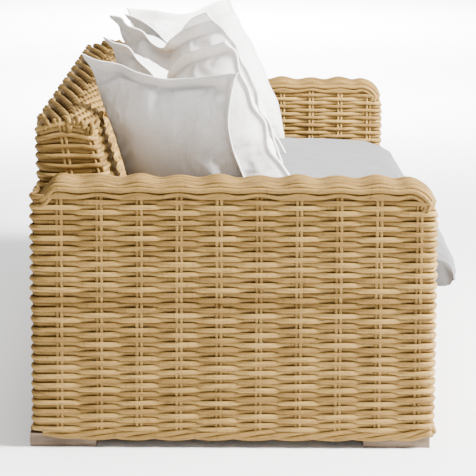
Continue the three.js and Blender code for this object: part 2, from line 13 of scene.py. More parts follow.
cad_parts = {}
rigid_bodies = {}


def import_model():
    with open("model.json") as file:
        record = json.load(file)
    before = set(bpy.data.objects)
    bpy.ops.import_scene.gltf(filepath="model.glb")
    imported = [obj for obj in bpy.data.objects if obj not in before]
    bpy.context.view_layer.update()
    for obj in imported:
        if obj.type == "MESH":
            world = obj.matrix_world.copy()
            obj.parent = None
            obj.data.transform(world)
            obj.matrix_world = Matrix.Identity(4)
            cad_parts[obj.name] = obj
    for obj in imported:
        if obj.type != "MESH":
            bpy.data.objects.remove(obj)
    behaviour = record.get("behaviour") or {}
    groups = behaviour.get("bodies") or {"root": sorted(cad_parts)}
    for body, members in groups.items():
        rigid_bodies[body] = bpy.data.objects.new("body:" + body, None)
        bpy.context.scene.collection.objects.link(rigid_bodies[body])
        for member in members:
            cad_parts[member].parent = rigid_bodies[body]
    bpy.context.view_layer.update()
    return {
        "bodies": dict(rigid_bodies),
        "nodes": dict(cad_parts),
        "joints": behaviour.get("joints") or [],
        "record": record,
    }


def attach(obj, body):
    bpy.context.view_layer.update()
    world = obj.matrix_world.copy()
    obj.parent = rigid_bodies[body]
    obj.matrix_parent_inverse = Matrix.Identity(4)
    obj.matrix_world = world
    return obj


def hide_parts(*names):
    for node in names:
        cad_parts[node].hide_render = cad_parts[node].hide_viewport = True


LOG = logging.getLogger("sofa")

Colour = tuple[float, float, float, float]

REAR_Y = 0.482
WIDTH = 2.100
INNER_X = 0.900
FRAME_DEPTH = 0.914
ARM_TOP = 0.603
ARM_WIDTH = 0.150
BACK_DEPTH = 0.150
SEAT_HEIGHT = 0.340
BACK_BASE = 0.688
BORDER_TOP = 0.043
SKIN = 0.012
BODY_HALF = INNER_X - 0.0003
STAKE_PITCH = 0.0887

FRAME = "sofa_frame"
BENCH = "bench_cushion"


class Side(Enum):
    """The two ends of the sofa, as signs on X."""

    LEFT = -1
    RIGHT = 1

    @property
    def label(self) -> str:
        """Returns the word used in piece names."""
        return self.name.lower()


# Arrays and curves


def unit(vectors: np.ndarray) -> np.ndarray:
    """Divides each vector by its length.

    Args:
        vectors: Any array whose last axis is X, Y, Z.

    Returns:
        An array of the same shape with vectors of length one.
    """
    length = np.linalg.norm(vectors, axis=-1, keepdims=True)
    return vectors / np.maximum(length, 1e-9)


def smoothstep(values: np.ndarray, low: float, high: float) -> np.ndarray:
    """Rises from 0 at low to 1 at high along a smooth S.

    Args:
        values: The numbers to map.
        low: Where the rise starts.
        high: Where the rise ends.

    Returns:
        An array of numbers from 0 to 1.
    """
    share = np.clip((values - low) / (high - low), 0.0, 1.0)
    return share * share * (3.0 - 2.0 * share)


@dataclass
class Surface:
    """A mesh in arrays: points, four-sided faces, end faces, a UV per face corner and a tone per point."""

    points: np.ndarray
    quads: np.ndarray
    caps: list[np.ndarray]
    uvs: np.ndarray
    tones: np.ndarray

    @staticmethod
    def plain(points: np.ndarray, quads: np.ndarray, caps: list[np.ndarray]) -> "Surface":
        """Makes a surface whose UVs and tones are all zero."""
        return Surface(points, quads, caps, np.zeros((quads.size, 2)), np.zeros(len(points)))

    @staticmethod
    def join(parts: "list[Surface]") -> "Surface":
        """Puts several surfaces into one, numbering the later points after the earlier ones.

        Args:
            parts: The surfaces to join.

        Returns:
            One surface with all their faces.
        """
        starts = np.cumsum([0] + [len(part.points) for part in parts[:-1]])
        caps = [cap + start for part, start in zip(parts, starts) for cap in part.caps]
        return Surface(
            np.concatenate([part.points for part in parts]),
            np.concatenate([part.quads + start for part, start in zip(parts, starts)]),
            caps,
            np.concatenate([part.uvs for part in parts]),
            np.concatenate([part.tones for part in parts]),
        )

    def build(self, name: str) -> bpy.types.Object:
        """Makes the Blender object, with smooth faces and with its place in its mesh.

        Args:
            name: The piece's name.

        Returns:
            The new object, linked to the scene.
        """
        cap_loops = np.concatenate([cap.ravel() for cap in self.caps]) if self.caps else np.empty(0, int)
        cap_sizes = [np.full(len(cap), cap.shape[1]) for cap in self.caps]
        sizes = np.concatenate([np.full(len(self.quads), 4), *cap_sizes])
        loops = np.concatenate([self.quads.ravel(), cap_loops]).astype(np.int32)
        starts = np.concatenate([[0], np.cumsum(sizes)[:-1]]).astype(np.int32)
        mesh = bpy.data.meshes.new(name)
        mesh.vertices.add(len(self.points))
        mesh.vertices.foreach_set("co", self.points.astype(np.float32).ravel())
        mesh.loops.add(len(loops))
        mesh.loops.foreach_set("vertex_index", loops)
        mesh.polygons.add(len(starts))
        mesh.polygons.foreach_set("loop_start", starts)
        mesh.polygons.foreach_set("use_smooth", np.full(len(starts), True))
        uvs = np.zeros((len(loops), 2), np.float32)
        uvs[: len(self.uvs)] = self.uvs
        mesh.uv_layers.new(name="along").uv.foreach_set("vector", uvs.ravel())
        tone = mesh.attributes.new("tone", "FLOAT", "POINT")
        tone.data.foreach_set("value", self.tones.astype(np.float32))
        mesh.update(calc_edges=True)
        mesh.validate()
        piece = bpy.data.objects.new(name, mesh)
        bpy.context.scene.collection.objects.link(piece)
        return piece


def tubes(points: np.ndarray, normals: np.ndarray, radius: np.ndarray | float, sides: int = 6,
          closed: bool = False, seed: int = 1) -> Surface:
    """Carries a ring of points along each path: centre + radius (cos a normal + sin a binormal).

    Args:
        points: Paths as (strands, steps, 3).
        normals: The outward direction at each step, same shape.
        radius: One number, or an array that broadcasts to (strands, steps).
        sides: Points in each ring.
        closed: Whether each path returns to its start.
        seed: Start of the random tones, one per strand.

    Returns:
        The tubes as one surface; U is the length along a strand in metres, V goes once around it.
    """
    strands, steps = points.shape[:2]
    if closed:
        tangents = unit(np.roll(points, -1, axis=1) - np.roll(points, 1, axis=1))
    else:
        tangents = unit(np.gradient(points, axis=1))
    binormals = unit(np.cross(tangents, normals))
    uprights = np.cross(binormals, tangents)
    angles = 2.0 * math.pi * np.arange(sides) / sides
    spread = np.broadcast_to(np.asarray(radius, float), (strands, steps))[..., None, None]
    ring = np.cos(angles)[:, None] * uprights[:, :, None] + np.sin(angles)[:, None] * binormals[:, :, None]
    places = points[:, :, None] + spread * ring

    spans = steps if closed else steps - 1
    base = (np.arange(strands) * steps * sides)[:, None, None]
    here = (np.arange(spans) * sides)[None, :, None]
    ahead = ((np.arange(spans) + 1) % steps * sides)[None, :, None]
    turn = np.arange(sides)[None, None, :]
    after = (turn + 1) % sides
    quads = np.stack([here + turn, here + after, ahead + after, ahead + turn], -1) + base[..., None]

    gaps = np.linalg.norm(np.roll(points, -1, axis=1) - points, axis=-1)
    length = np.concatenate([np.zeros((strands, 1)), np.cumsum(gaps, axis=1)], axis=1)
    first = np.broadcast_to(length[:, :spans, None], (strands, spans, sides))
    second = np.broadcast_to(length[:, 1:spans + 1, None], (strands, spans, sides))
    low = np.broadcast_to(turn / sides, (strands, spans, sides))
    high = low + 1.0 / sides
    uvs = np.stack([np.stack([first, low], -1), np.stack([first, high], -1),
                    np.stack([second, high], -1), np.stack([second, low], -1)], axis=-2)

    caps = []
    if not closed:
        starts = np.arange(strands)[:, None] * steps * sides
        caps = [starts + np.arange(sides)[::-1], starts + (steps - 1) * sides + np.arange(sides)]
    shades = np.random.default_rng(seed).random(strands)
    tones = np.repeat(shades, steps * sides)
    return Surface(places.reshape(-1, 3), quads.reshape(-1, 4), caps, uvs.reshape(-1, 2), tones)


@dataclass
class Plan:
    """A wall's line seen from above: points on it, its outward directions, and the length to each point.

    The marks are the same places measured along the unrounded corner-to-corner line.
    """

    points: np.ndarray
    normals: np.ndarray
    lengths: np.ndarray
    marks: np.ndarray

    @property
    def total(self) -> float:
        """Returns the length of the whole line."""
        return float(self.lengths[-1])

    def reach(self, marks: np.ndarray) -> np.ndarray:
        """Turns distances along the unrounded line into distances along the rounded one."""
        return np.interp(marks, self.marks, self.lengths)

    def at(self, lengths: np.ndarray) -> tuple[np.ndarray, np.ndarray]:
        """Finds places along the line.

        Args:
            lengths: Distances from its start.

        Returns:
            The points and their outward directions, each with a last axis of X, Y.
        """
        point = np.stack([np.interp(lengths, self.lengths, self.points[:, axis]) for axis in (0, 1)], -1)
        normal = np.stack([np.interp(lengths, self.lengths, self.normals[:, axis]) for axis in (0, 1)], -1)
        return point, unit(normal)


def wall_plan(corners: list[tuple[float, float]], radius: float, closed: bool, steps: int = 5) -> Plan:
    """Joins corner points by straight lines and rounds each turn by a quarter-like arc.

    Args:
        corners: Points on X, Y, going so that the outside is on the right hand.
        radius: Radius of the rounded turns.
        closed: Whether the line returns to its start.
        steps: Points in each arc.

    Returns:
        The finished line.
    """
    spots = np.array(corners, float)
    count = len(spots)
    sides = np.linalg.norm(np.roll(spots, -1, axis=0) - spots, axis=1)
    corner_marks = np.concatenate([[0.0], np.cumsum(sides)])
    points, normals, marks = [], [], []
    for index in range(count):
        before, here, after = spots[index - 1], spots[index], spots[(index + 1) % count]
        if not closed and index in (0, count - 1):
            way = (after - here) if index == 0 else (here - before)
            way = way / np.linalg.norm(way)
            points.append(here)
            normals.append(np.array([way[1], -way[0]]))
            marks.append(corner_marks[index])
            continue
        into = (here - before) / np.linalg.norm(here - before)
        out = (after - here) / np.linalg.norm(after - here)
        start_normal = np.array([into[1], -into[0]])
        end_normal = np.array([out[1], -out[0]])
        turn = math.acos(float(np.clip(into @ out, -1.0, 1.0)))
        sign = math.copysign(1.0, into[0] * out[1] - into[1] * out[0])
        reach = radius * math.tan(turn / 2.0)
        centre = here - into * reach - sign * start_normal * radius
        for share in np.linspace(0.0, 1.0, steps):
            normal = start_normal * (1.0 - share) + end_normal * share
            normal = normal / np.linalg.norm(normal)
            points.append(centre + sign * normal * radius)
            normals.append(normal)
            marks.append(corner_marks[index] + (2.0 * share - 1.0) * reach)
    if closed:
        points.append(points[0])
        normals.append(normals[0])
        marks.append(marks[0] + corner_marks[-1])
    line = np.array(points)
    gaps = np.linalg.norm(np.diff(line, axis=0), axis=1)
    return Plan(line, np.array(normals), np.concatenate([[0.0], np.cumsum(gaps)]), np.array(marks))


# Materials


@dataclass(frozen=True)
class Socket:
    """One input or output of a shader node group."""

    name: str
    kind: str
    value: float | Colour | None = None


class Nodes:
    """Places and joins the nodes of one material or group."""

    def __init__(self, tree: bpy.types.NodeTree) -> None:
        """Keeps the tree whose nodes it makes."""
        self.tree = tree

    def add(self, kind: str, settings: dict | None = None, **inputs: object) -> bpy.types.Node:
        """Adds a node, sets its properties and its inputs.

        Args:
            kind: Blender's node type, such as ShaderNodeTexNoise.
            settings: Properties of the node itself.
            inputs: Values or output sockets by input name, with spaces written as underscores.

        Returns:
            The new node.
        """
        node = self.tree.nodes.new(kind)
        for key, value in (settings or {}).items():
            setattr(node, key, value)
        for key, value in inputs.items():
            self.put(node.inputs[key.replace("_", " ")], value)
        return node

    def put(self, socket: bpy.types.NodeSocket, value: object) -> None:
        """Joins or sets one input socket."""
        if isinstance(value, bpy.types.NodeSocket):
            self.tree.links.new(value, socket)
        else:
            socket.default_value = value

    def maths(self, operation: str, first: object, second: object = 0.0, third: object = 0.0,
              clamp: bool = False) -> bpy.types.NodeSocket:
        """Adds a Math node and returns its output."""
        node = self.add("ShaderNodeMath", {"operation": operation, "use_clamp": clamp})
        for socket, value in zip(node.inputs, (first, second, third)):
            self.put(socket, value)
        return node.outputs[0]

    def mix(self, share: object, first: object, second: object) -> bpy.types.NodeSocket:
        """Adds a colour Mix node and returns its output."""
        node = self.add("ShaderNodeMix", {"data_type": "RGBA"})
        self.put(node.inputs[0], share)
        self.put(node.inputs[6], first)
        self.put(node.inputs[7], second)
        return node.outputs[2]

    def ramp(self, value: object, low: float, high: float) -> bpy.types.NodeSocket:
        """Maps a value from low..high to 0..1 and returns the result."""
        node = self.add("ShaderNodeMapRange", {"clamp": True, "interpolation_type": "SMOOTHSTEP"},
                        Value=value, From_Min=low, From_Max=high)
        return node.outputs[0]

    def noise(self, place: object, scale: object, detail: float,
              roughness: float = 0.5) -> bpy.types.NodeSocket:
        """Adds a Noise Texture node and returns its value."""
        node = self.add("ShaderNodeTexNoise", Vector=place, Scale=scale, Detail=detail, Roughness=roughness)
        return node.outputs[0]


def shader_group(name: str, inputs: list[Socket],
                 outputs: list[Socket]) -> tuple[Nodes, dict, bpy.types.Node]:
    """Starts a node group with named inputs and outputs.

    Args:
        name: The group's name.
        inputs: Its inputs.
        outputs: Its outputs.

    Returns:
        The group's node maker, its input sockets by name, and its output node.
    """
    tree = bpy.data.node_groups.new(name, "ShaderNodeTree")
    for sockets, way in ((inputs, "INPUT"), (outputs, "OUTPUT")):
        for socket in sockets:
            made = tree.interface.new_socket(socket.name, in_out=way, socket_type=socket.kind)
            if socket.value is not None:
                made.default_value = socket.value
    nodes = Nodes(tree)
    source = nodes.add("NodeGroupInput")
    target = nodes.add("NodeGroupOutput")
    return nodes, {socket.name: source.outputs[socket.name] for socket in inputs}, target


FLOAT = "NodeSocketFloat"
COLOUR = "NodeSocketColor"
VECTOR = "NodeSocketVector"


def cane_group() -> bpy.types.NodeTree:
    """Builds the look of peeled cane: long fibres, rings, flecks, and darker and lighter lengths."""
    nodes, given, target = shader_group(
        "round_cane",
        [Socket("Along", VECTOR), Socket("Place", VECTOR), Socket("Tone", FLOAT, 0.5),
         Socket("Light", COLOUR, (0.6, 0.4, 0.2, 1)), Socket("Middle", COLOUR, (0.5, 0.3, 0.1, 1)),
         Socket("Dark", COLOUR, (0.2, 0.1, 0.05, 1))],
        [Socket("Color", COLOUR), Socket("Roughness", FLOAT), Socket("Height", FLOAT)],
    )
    stretch, shift_per_tone = (26.0, 12.0, 1.0), 53.0
    rings_per_metre, ring_start, ring_half = 4.3, 17.0, 0.014
    tone_share, patch_share = 0.55, 0.65
    streaks, flecks, rings = 0.72, 0.6, 0.3

    stretched = nodes.add("ShaderNodeVectorMath", {"operation": "MULTIPLY"})
    nodes.put(stretched.inputs[0], given["Along"])
    stretched.inputs[1].default_value = stretch
    shift = nodes.add("ShaderNodeCombineXYZ", Z=nodes.maths("MULTIPLY", given["Tone"], shift_per_tone))
    moved = nodes.add("ShaderNodeVectorMath", {"operation": "ADD"})
    nodes.put(moved.inputs[0], stretched.outputs[0])
    nodes.put(moved.inputs[1], shift.outputs[0])
    fibre = nodes.noise(moved.outputs[0], 1.0, 4.0, 0.65)
    patches = nodes.noise(given["Place"], 17.0, 3.0, 0.6)
    specks = nodes.noise(given["Place"], 300.0, 3.0, 0.7)

    split = nodes.add("ShaderNodeSeparateXYZ", Vector=given["Along"])
    start = nodes.maths("MULTIPLY", given["Tone"], ring_start)
    step = nodes.maths("FRACT", nodes.maths("MULTIPLY_ADD", split.outputs[0], rings_per_metre, start))
    off_ring = nodes.maths("ABSOLUTE", nodes.maths("SUBTRACT", step, 0.5))
    ring = nodes.maths("SUBTRACT", 1.0, nodes.ramp(off_ring, 0.0, ring_half))
    patch = nodes.maths("MULTIPLY", patches, patch_share)
    shade = nodes.maths("MULTIPLY_ADD", given["Tone"], tone_share, patch, clamp=True)

    colour = nodes.mix(nodes.ramp(shade, 0.36, 0.80), given["Middle"], given["Light"])
    streak, fleck = nodes.ramp(fibre, 0.50, 0.72), nodes.ramp(specks, 0.54, 0.70)
    for mask, share in ((streak, streaks), (fleck, flecks), (ring, rings)):
        colour = nodes.mix(nodes.maths("MULTIPLY", mask, share), colour, given["Dark"])
    nodes.put(target.inputs["Color"], colour)
    nodes.put(target.inputs["Roughness"], nodes.maths("MULTIPLY_ADD", fibre, 0.3, 0.45))
    fibre_height = nodes.maths("MULTIPLY", fibre, 0.6)
    nodes.put(target.inputs["Height"], nodes.maths("MULTIPLY_ADD", ring, 0.8, fibre_height))
    return nodes.tree


def timber_group() -> bpy.types.NodeTree:
    """Builds weathered wood grain: long dark lines and grey and brown patches."""
    nodes, given, target = shader_group(
        "timber_grain",
        [Socket("Place", VECTOR), Socket("Light", COLOUR, (0.4, 0.3, 0.2, 1)),
         Socket("Dark", COLOUR, (0.2, 0.1, 0.05, 1))],
        [Socket("Color", COLOUR), Socket("Roughness", FLOAT), Socket("Height", FLOAT)],
    )
    long = nodes.add("ShaderNodeMapping", Vector=given["Place"], Scale=(60.0, 5.0, 60.0))
    grain = nodes.noise(long.outputs[0], 1.6, 5.0, 0.6)
    patches = nodes.noise(given["Place"], 14.0, 3.0)
    share = nodes.maths("MULTIPLY_ADD", grain, 0.75, nodes.maths("MULTIPLY", patches, 0.4))
    colour = nodes.mix(nodes.ramp(share, 0.38, 0.75), given["Dark"], given["Light"])
    nodes.put(target.inputs["Color"], colour)
    nodes.put(target.inputs["Roughness"], nodes.maths("MULTIPLY_ADD", grain, -0.25, 0.85))
    nodes.put(target.inputs["Height"], grain)
    return nodes.tree


def cloth_group() -> bpy.types.NodeTree:
    """Builds plain woven cloth: threads along all three axes and faint soft blotches."""
    nodes, given, target = shader_group(
        "plain_weave",
        [Socket("Place", VECTOR), Socket("Light", COLOUR, (0.8, 0.8, 0.8, 1)),
         Socket("Dark", COLOUR, (0.6, 0.6, 0.6, 1)), Socket("Threads", FLOAT, 900.0)],
        [Socket("Color", COLOUR), Socket("Height", FLOAT)],
    )
    crossed: object = 0.0
    for way in ((1.0, 0.06, 0.06), (0.06, 0.06, 1.0), (0.06, 1.0, 0.06)):
        threads = nodes.add("ShaderNodeMapping", Vector=given["Place"], Scale=way)
        noise = nodes.noise(threads.outputs[0], given["Threads"], 2.0)
        crossed = nodes.maths("MULTIPLY_ADD", noise, 0.333, crossed)
    blotch = nodes.maths("MULTIPLY", nodes.noise(given["Place"], 6.0, 3.0), 0.35)
    share = nodes.maths("MULTIPLY_ADD", crossed, 0.8, blotch)
    colour = nodes.mix(nodes.ramp(share, 0.38, 0.66), given["Dark"], given["Light"])
    nodes.put(target.inputs["Color"], colour)
    nodes.put(target.inputs["Height"], crossed)
    return nodes.tree


@dataclass
class Palette:
    """Builds the shared shader groups once."""

    groups: dict[str, bpy.types.NodeTree] = field(init=False)

    def __post_init__(self) -> None:
        """Builds the shader node groups."""
        self.groups = {"cane": cane_group(), "timber": timber_group(), "cloth": cloth_group()}


def start_material(name: str) -> tuple[bpy.types.Material, Nodes, bpy.types.Node]:
    """Makes an empty material with a Principled shader.

    Args:
        name: The material's name.

    Returns:
        The material, its node maker and its shader.
    """
    material = bpy.data.materials.new(name)
    material.use_nodes = True
    material.node_tree.nodes.clear()
    nodes = Nodes(material.node_tree)
    shader = nodes.add("ShaderNodeBsdfPrincipled")
    nodes.add("ShaderNodeOutputMaterial", Surface=shader.outputs[0])
    return material, nodes, shader


def grained_material(name: str, group: bpy.types.NodeTree, strength: float, distance: float,
                     **inputs: object) -> tuple[bpy.types.Material, Nodes, bpy.types.Node, bpy.types.Node]:
    """Joins a pattern group on Object coordinates to a Principled shader: colour, roughness and bump.

    Args:
        name: The material's name.
        group: The pattern's node group.
        strength: Strength of the bump.
        distance: Height of the bump in metres.
        inputs: The group's inputs by name.

    Returns:
        The material, its node maker, its shader and its pattern node.
    """
    material, nodes, shader = start_material(name)
    place = nodes.add("ShaderNodeTexCoord")
    pattern = nodes.add("ShaderNodeGroup", {"node_tree": group}, Place=place.outputs["Object"], **inputs)
    height = pattern.outputs["Height"]
    bump = nodes.add("ShaderNodeBump", Strength=strength, Distance=distance, Height=height)
    nodes.put(shader.inputs["Base Color"], pattern.outputs["Color"])
    nodes.put(shader.inputs["Normal"], bump.outputs[0])
    if "Roughness" in pattern.outputs:
        nodes.put(shader.inputs["Roughness"], pattern.outputs["Roughness"])
    return material, nodes, shader, pattern


@dataclass(frozen=True)
class CaneFinish:
    """Round cane in one set of colours."""

    name: str
    light: Colour
    middle: Colour
    dark: Colour
    bump: float = 0.25
    specular: float = 0.14

    def material(self, palette: Palette) -> bpy.types.Material:
        """Returns the finish as a material that reads the strand's own UV and tone."""
        material, nodes, shader, pattern = grained_material(
            self.name, palette.groups["cane"], self.bump, 0.0006,
            Light=self.light, Middle=self.middle, Dark=self.dark)
        along = nodes.add("ShaderNodeUVMap", {"uv_map": "along"})
        tone = nodes.add("ShaderNodeAttribute", {"attribute_name": "tone"})
        nodes.put(pattern.inputs["Along"], along.outputs[0])
        nodes.put(pattern.inputs["Tone"], tone.outputs["Fac"])
        shader.inputs["Specular IOR Level"].default_value = self.specular
        return material


@dataclass(frozen=True)
class WoodFinish:
    """Wood with grain along the depth of the sofa."""

    name: str
    light: Colour
    dark: Colour

    def material(self, palette: Palette) -> bpy.types.Material:
        """Returns the finish as a material."""
        return grained_material(self.name, palette.groups["timber"], 0.4, 0.001,
                                Light=self.light, Dark=self.dark)[0]


@dataclass(frozen=True)
class ClothFinish:
    """Plain woven cloth in one colour."""

    name: str
    light: Colour
    dark: Colour
    threads: float

    def material(self, palette: Palette) -> bpy.types.Material:
        """Returns the finish as a material."""
        material, nodes, shader, pattern = grained_material(
            self.name, palette.groups["cloth"], 0.3, 0.0006,
            Light=self.light, Dark=self.dark, Threads=self.threads)
        levels = {"Roughness": 0.95, "Specular IOR Level": 0.2,
                  "Sheen Weight": 0.15, "Sheen Roughness": 0.6}
        for socket, level in levels.items():
            shader.inputs[socket].default_value = level
        return material


@dataclass(frozen=True)
class MetalFinish:
    """Zinc-plated steel with a faint mottle."""

    name: str
    colour: Colour

    def material(self) -> bpy.types.Material:
        """Returns the finish as a material on Object coordinates."""
        material, nodes, shader = start_material(self.name)
        place = nodes.add("ShaderNodeTexCoord")
        mottle = nodes.noise(place.outputs["Object"], 400.0, 3.0)
        dull = tuple(0.7 * part for part in self.colour[:3]) + (1.0,)
        nodes.put(shader.inputs["Base Color"], nodes.mix(mottle, dull, self.colour))
        nodes.put(shader.inputs["Roughness"], nodes.maths("MULTIPLY_ADD", mottle, 0.3, 0.25))
        shader.inputs["Metallic"].default_value = 1.0
        return material


WOVEN = CaneFinish("woven_cane", light=(0.335, 0.208, 0.062, 1), middle=(0.205, 0.118, 0.031, 1),
                   dark=(0.052, 0.027, 0.008, 1))
# The rolled cane is the woven cane made darker and more saturated: painted shade that holds back the strong
# top light on the borders and base ropes.
SHADED_ROLLED_CANE = CaneFinish("rolled_cane_painted_shade", light=(0.240, 0.143, 0.039, 1), middle=(0.160, 0.090, 0.021, 1),
                    dark=(0.046, 0.024, 0.007, 1))
FOOT = WoodFinish("weathered_foot_wood", (0.185, 0.128, 0.080, 1), (0.085, 0.055, 0.033, 1))
TIMBER = WoodFinish("sawn_frame_timber", (0.42, 0.29, 0.16, 1), (0.20, 0.12, 0.06, 1))
SEAT_CLOTH = ClothFinish("seat_cloth", (0.145, 0.142, 0.141, 1), (0.115, 0.113, 0.112, 1), 700.0)
LINEN = ClothFinish("pillow_linen", (0.80, 0.775, 0.75, 1), (0.62, 0.60, 0.58, 1), 520.0)
ZINC = MetalFinish("zinc_plate", (0.62, 0.62, 0.64, 1))


def dress(piece: bpy.types.Object, material: bpy.types.Material) -> None:
    """Gives a piece one material."""
    piece.data.materials.clear()
    piece.data.materials.append(material)


def declare(piece: bpy.types.Object, material: bpy.types.Material, body: str, node: str) -> None:
    """Gives a piece its material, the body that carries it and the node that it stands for."""
    dress(piece, material)
    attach(piece, body)
    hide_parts(node)
    LOG.info("%s: %d faces", piece.name, len(piece.data.polygons))


# Woven walls and borders


THICKNESS_DRAWS = 70
DRIFT_DRAWS = 900
STAKE_TONES = 50


@dataclass(frozen=True)
class WeaveStyle:
    """Sizes of the cane in the woven walls, in metres."""

    strand: float = 0.0061
    wave: float = 0.0055
    stake: float = 0.0041
    stake_proud: float = 0.0020
    stake_gap: float = 0.0048
    top_pitch: float = 0.0116
    low_pitch: float = 0.0100
    corner: float = 0.012
    step: float = 0.0115
    wander: float = 0.0007
    inner_growth: float = 0.20
    uneven: float = 0.06
    bow: float = 0.75

    @property
    def depth(self) -> float:
        """Returns how far the middle of the weave lies inside its outer face."""
        return self.wave + self.strand

    def pitch(self, heights: np.ndarray) -> np.ndarray:
        """Returns the distance from row to row, which narrows towards the floor."""
        return self.low_pitch + (self.top_pitch - self.low_pitch) * smoothstep(heights, 0.12, 0.36)

    def rows(self, low: float, high: float) -> np.ndarray:
        """Lists the heights of the rows.

        Args:
            low: Lower edge of the wall.
            high: Upper edge of the wall.

        Returns:
            Row heights from the top down.
        """
        heights = [high - self.strand]
        while heights[-1] > low + self.strand:
            heights.append(heights[-1] - float(self.pitch(np.array(heights[-1]))))
        return np.array(heights)


@dataclass(frozen=True)
class StakeLine:
    """Where a row passes stakes along a wall.

    Each knot is a distance along the wall's unrounded line and the count of stakes passed there: a whole
    count is a pair of stakes, and the part counts between them say how soon the row changes sides.
    """

    knots: list[tuple[float, float]]

    def passed(self, plan: Plan, lengths: np.ndarray) -> np.ndarray:
        """Returns the count of stakes passed at each length along the rounded line."""
        marks, counts = np.array(self.knots).T
        return np.interp(lengths, plan.reach(marks), counts)

    def stakes(self, plan: Plan) -> np.ndarray:
        """Returns the lengths of the stake pairs along the rounded line."""
        marks, counts = np.array(self.knots).T
        return plan.reach(marks[np.isclose(counts, np.round(counts))])


@dataclass
class WovenWall:
    """A wall of cane rows that pass by turns outside and inside pairs of upright stakes."""

    plan: Plan
    stakes: StakeLine
    heights: np.ndarray
    closed: bool
    style: WeaveStyle = WeaveStyle()
    first_row: int = 0
    seed: int = 3

    def lean(self, points: np.ndarray, normals: np.ndarray,
             heights: np.ndarray) -> tuple[np.ndarray, np.ndarray]:
        """Leaves an upright wall as it is; a raked wall moves its points here."""
        return points, normals

    def place(self, lengths: np.ndarray, heights: np.ndarray,
              proud: np.ndarray) -> tuple[np.ndarray, np.ndarray]:
        """Finds points of the wall: its line at that length, raised to the height, moved outward by proud.

        Args:
            lengths: Distances along the wall.
            heights: Heights above the floor.
            proud: Distances outward from the middle of the weave.

        Returns:
            The points and their outward directions.
        """
        flat, out = self.plan.at(lengths)
        upright = np.broadcast_to(heights, lengths.shape)
        points = np.concatenate([flat, upright[..., None]], -1)
        normals = np.concatenate([out, np.zeros(out.shape[:-1] + (1,))], -1)
        points, normals = self.lean(points, normals, upright)
        return points + normals * np.broadcast_to(proud, lengths.shape)[..., None], normals

    def surface(self) -> Surface:
        """Builds all rows and stakes.

        Each row's distance from the middle is wave times a power of cos(pi times the count of stakes
        passed), and the next row is the opposite. A row is a little thicker where it passes inside.

        Returns:
            The wall as one surface.
        """
        style = self.style
        count = max(8, int(self.plan.total / style.step))
        lengths = np.linspace(0.0, self.plan.total, count, endpoint=not self.closed)
        row = (np.arange(len(self.heights)) + self.first_row)[:, None]
        swing = np.cos(math.pi * (self.stakes.passed(self.plan, lengths)[None, :] + row))
        proud = style.wave * np.sign(swing) * np.abs(swing) ** style.bow
        spread = np.broadcast_to(lengths, (len(self.heights), count))
        points, normals = self.place(spread, self.heights[:, None] + self.drift(lengths), proud)
        draws = np.random.default_rng(self.seed + THICKNESS_DRAWS)
        thickness = draws.uniform(-1.0, 1.0, (len(self.heights), 1))
        radius = style.strand * (1.0 + style.inner_growth * (1.0 - swing) / 2.0 + style.uneven * thickness)
        rows = tubes(points, normals, radius, closed=self.closed, seed=self.seed)
        return Surface.join([rows, self.stake_surface()])

    def drift(self, lengths: np.ndarray) -> np.ndarray:
        """Lets each row wander up and down by two sine waves with whole turns and random starts.

        Args:
            lengths: Distances along the wall.

        Returns:
            Height changes as (rows, lengths).
        """
        draws = np.random.default_rng(self.seed + DRIFT_DRAWS)
        total = np.zeros((len(self.heights), len(lengths)))
        for wavelength, weight in ((0.31, 0.6), (0.12, 0.4)):
            turns = max(1, round(self.plan.total / wavelength))
            starts = draws.uniform(0.0, 2.0 * math.pi, len(self.heights))[:, None]
            total += weight * np.sin(2.0 * math.pi * turns * lengths / self.plan.total + starts)
        return self.style.wander * total

    def stake_surface(self) -> Surface:
        """Builds the pairs of upright stakes.

        Returns:
            The stakes as one surface.
        """
        style = self.style
        middles = self.stakes.stakes(self.plan)
        pairs = np.sort(np.concatenate([middles - style.stake_gap, middles + style.stake_gap]))
        levels = np.linspace(self.heights[-1] - style.strand, self.heights[0] + style.strand, 12)
        lengths = np.broadcast_to(pairs[:, None], (len(pairs), len(levels)))
        points, normals = self.place(lengths, levels[None, :], np.array([style.stake_proud]))
        return tubes(points, normals, style.stake, seed=self.seed + STAKE_TONES)


def even_knots(start: float, end: float, first: int, gaps: int) -> list[tuple[float, float]]:
    """Puts pairs of stakes evenly from start to end.

    Args:
        start: Distance of the first pair.
        end: Distance of the last pair.
        first: Count of the first pair.
        gaps: How many gaps lie between the pairs.

    Returns:
        The knots.
    """
    return [(start + (end - start) * step / gaps, float(first + step)) for step in range(gaps + 1)]


def straight_stakes(half: float, gaps: int, margin: float = 0.050) -> StakeLine:
    """Puts pairs of stakes evenly along a straight wall, the first and last a margin from its ends.

    Args:
        half: Half of the wall's length.
        gaps: How many gaps lie between the pairs.
        margin: Distance from each end to its nearest pair.

    Returns:
        The stakes.
    """
    pairs = even_knots(margin, 2 * half - margin, 1, gaps)
    return StakeLine([(0.0, 0.3), *pairs, (2 * half, gaps + 1.7)])


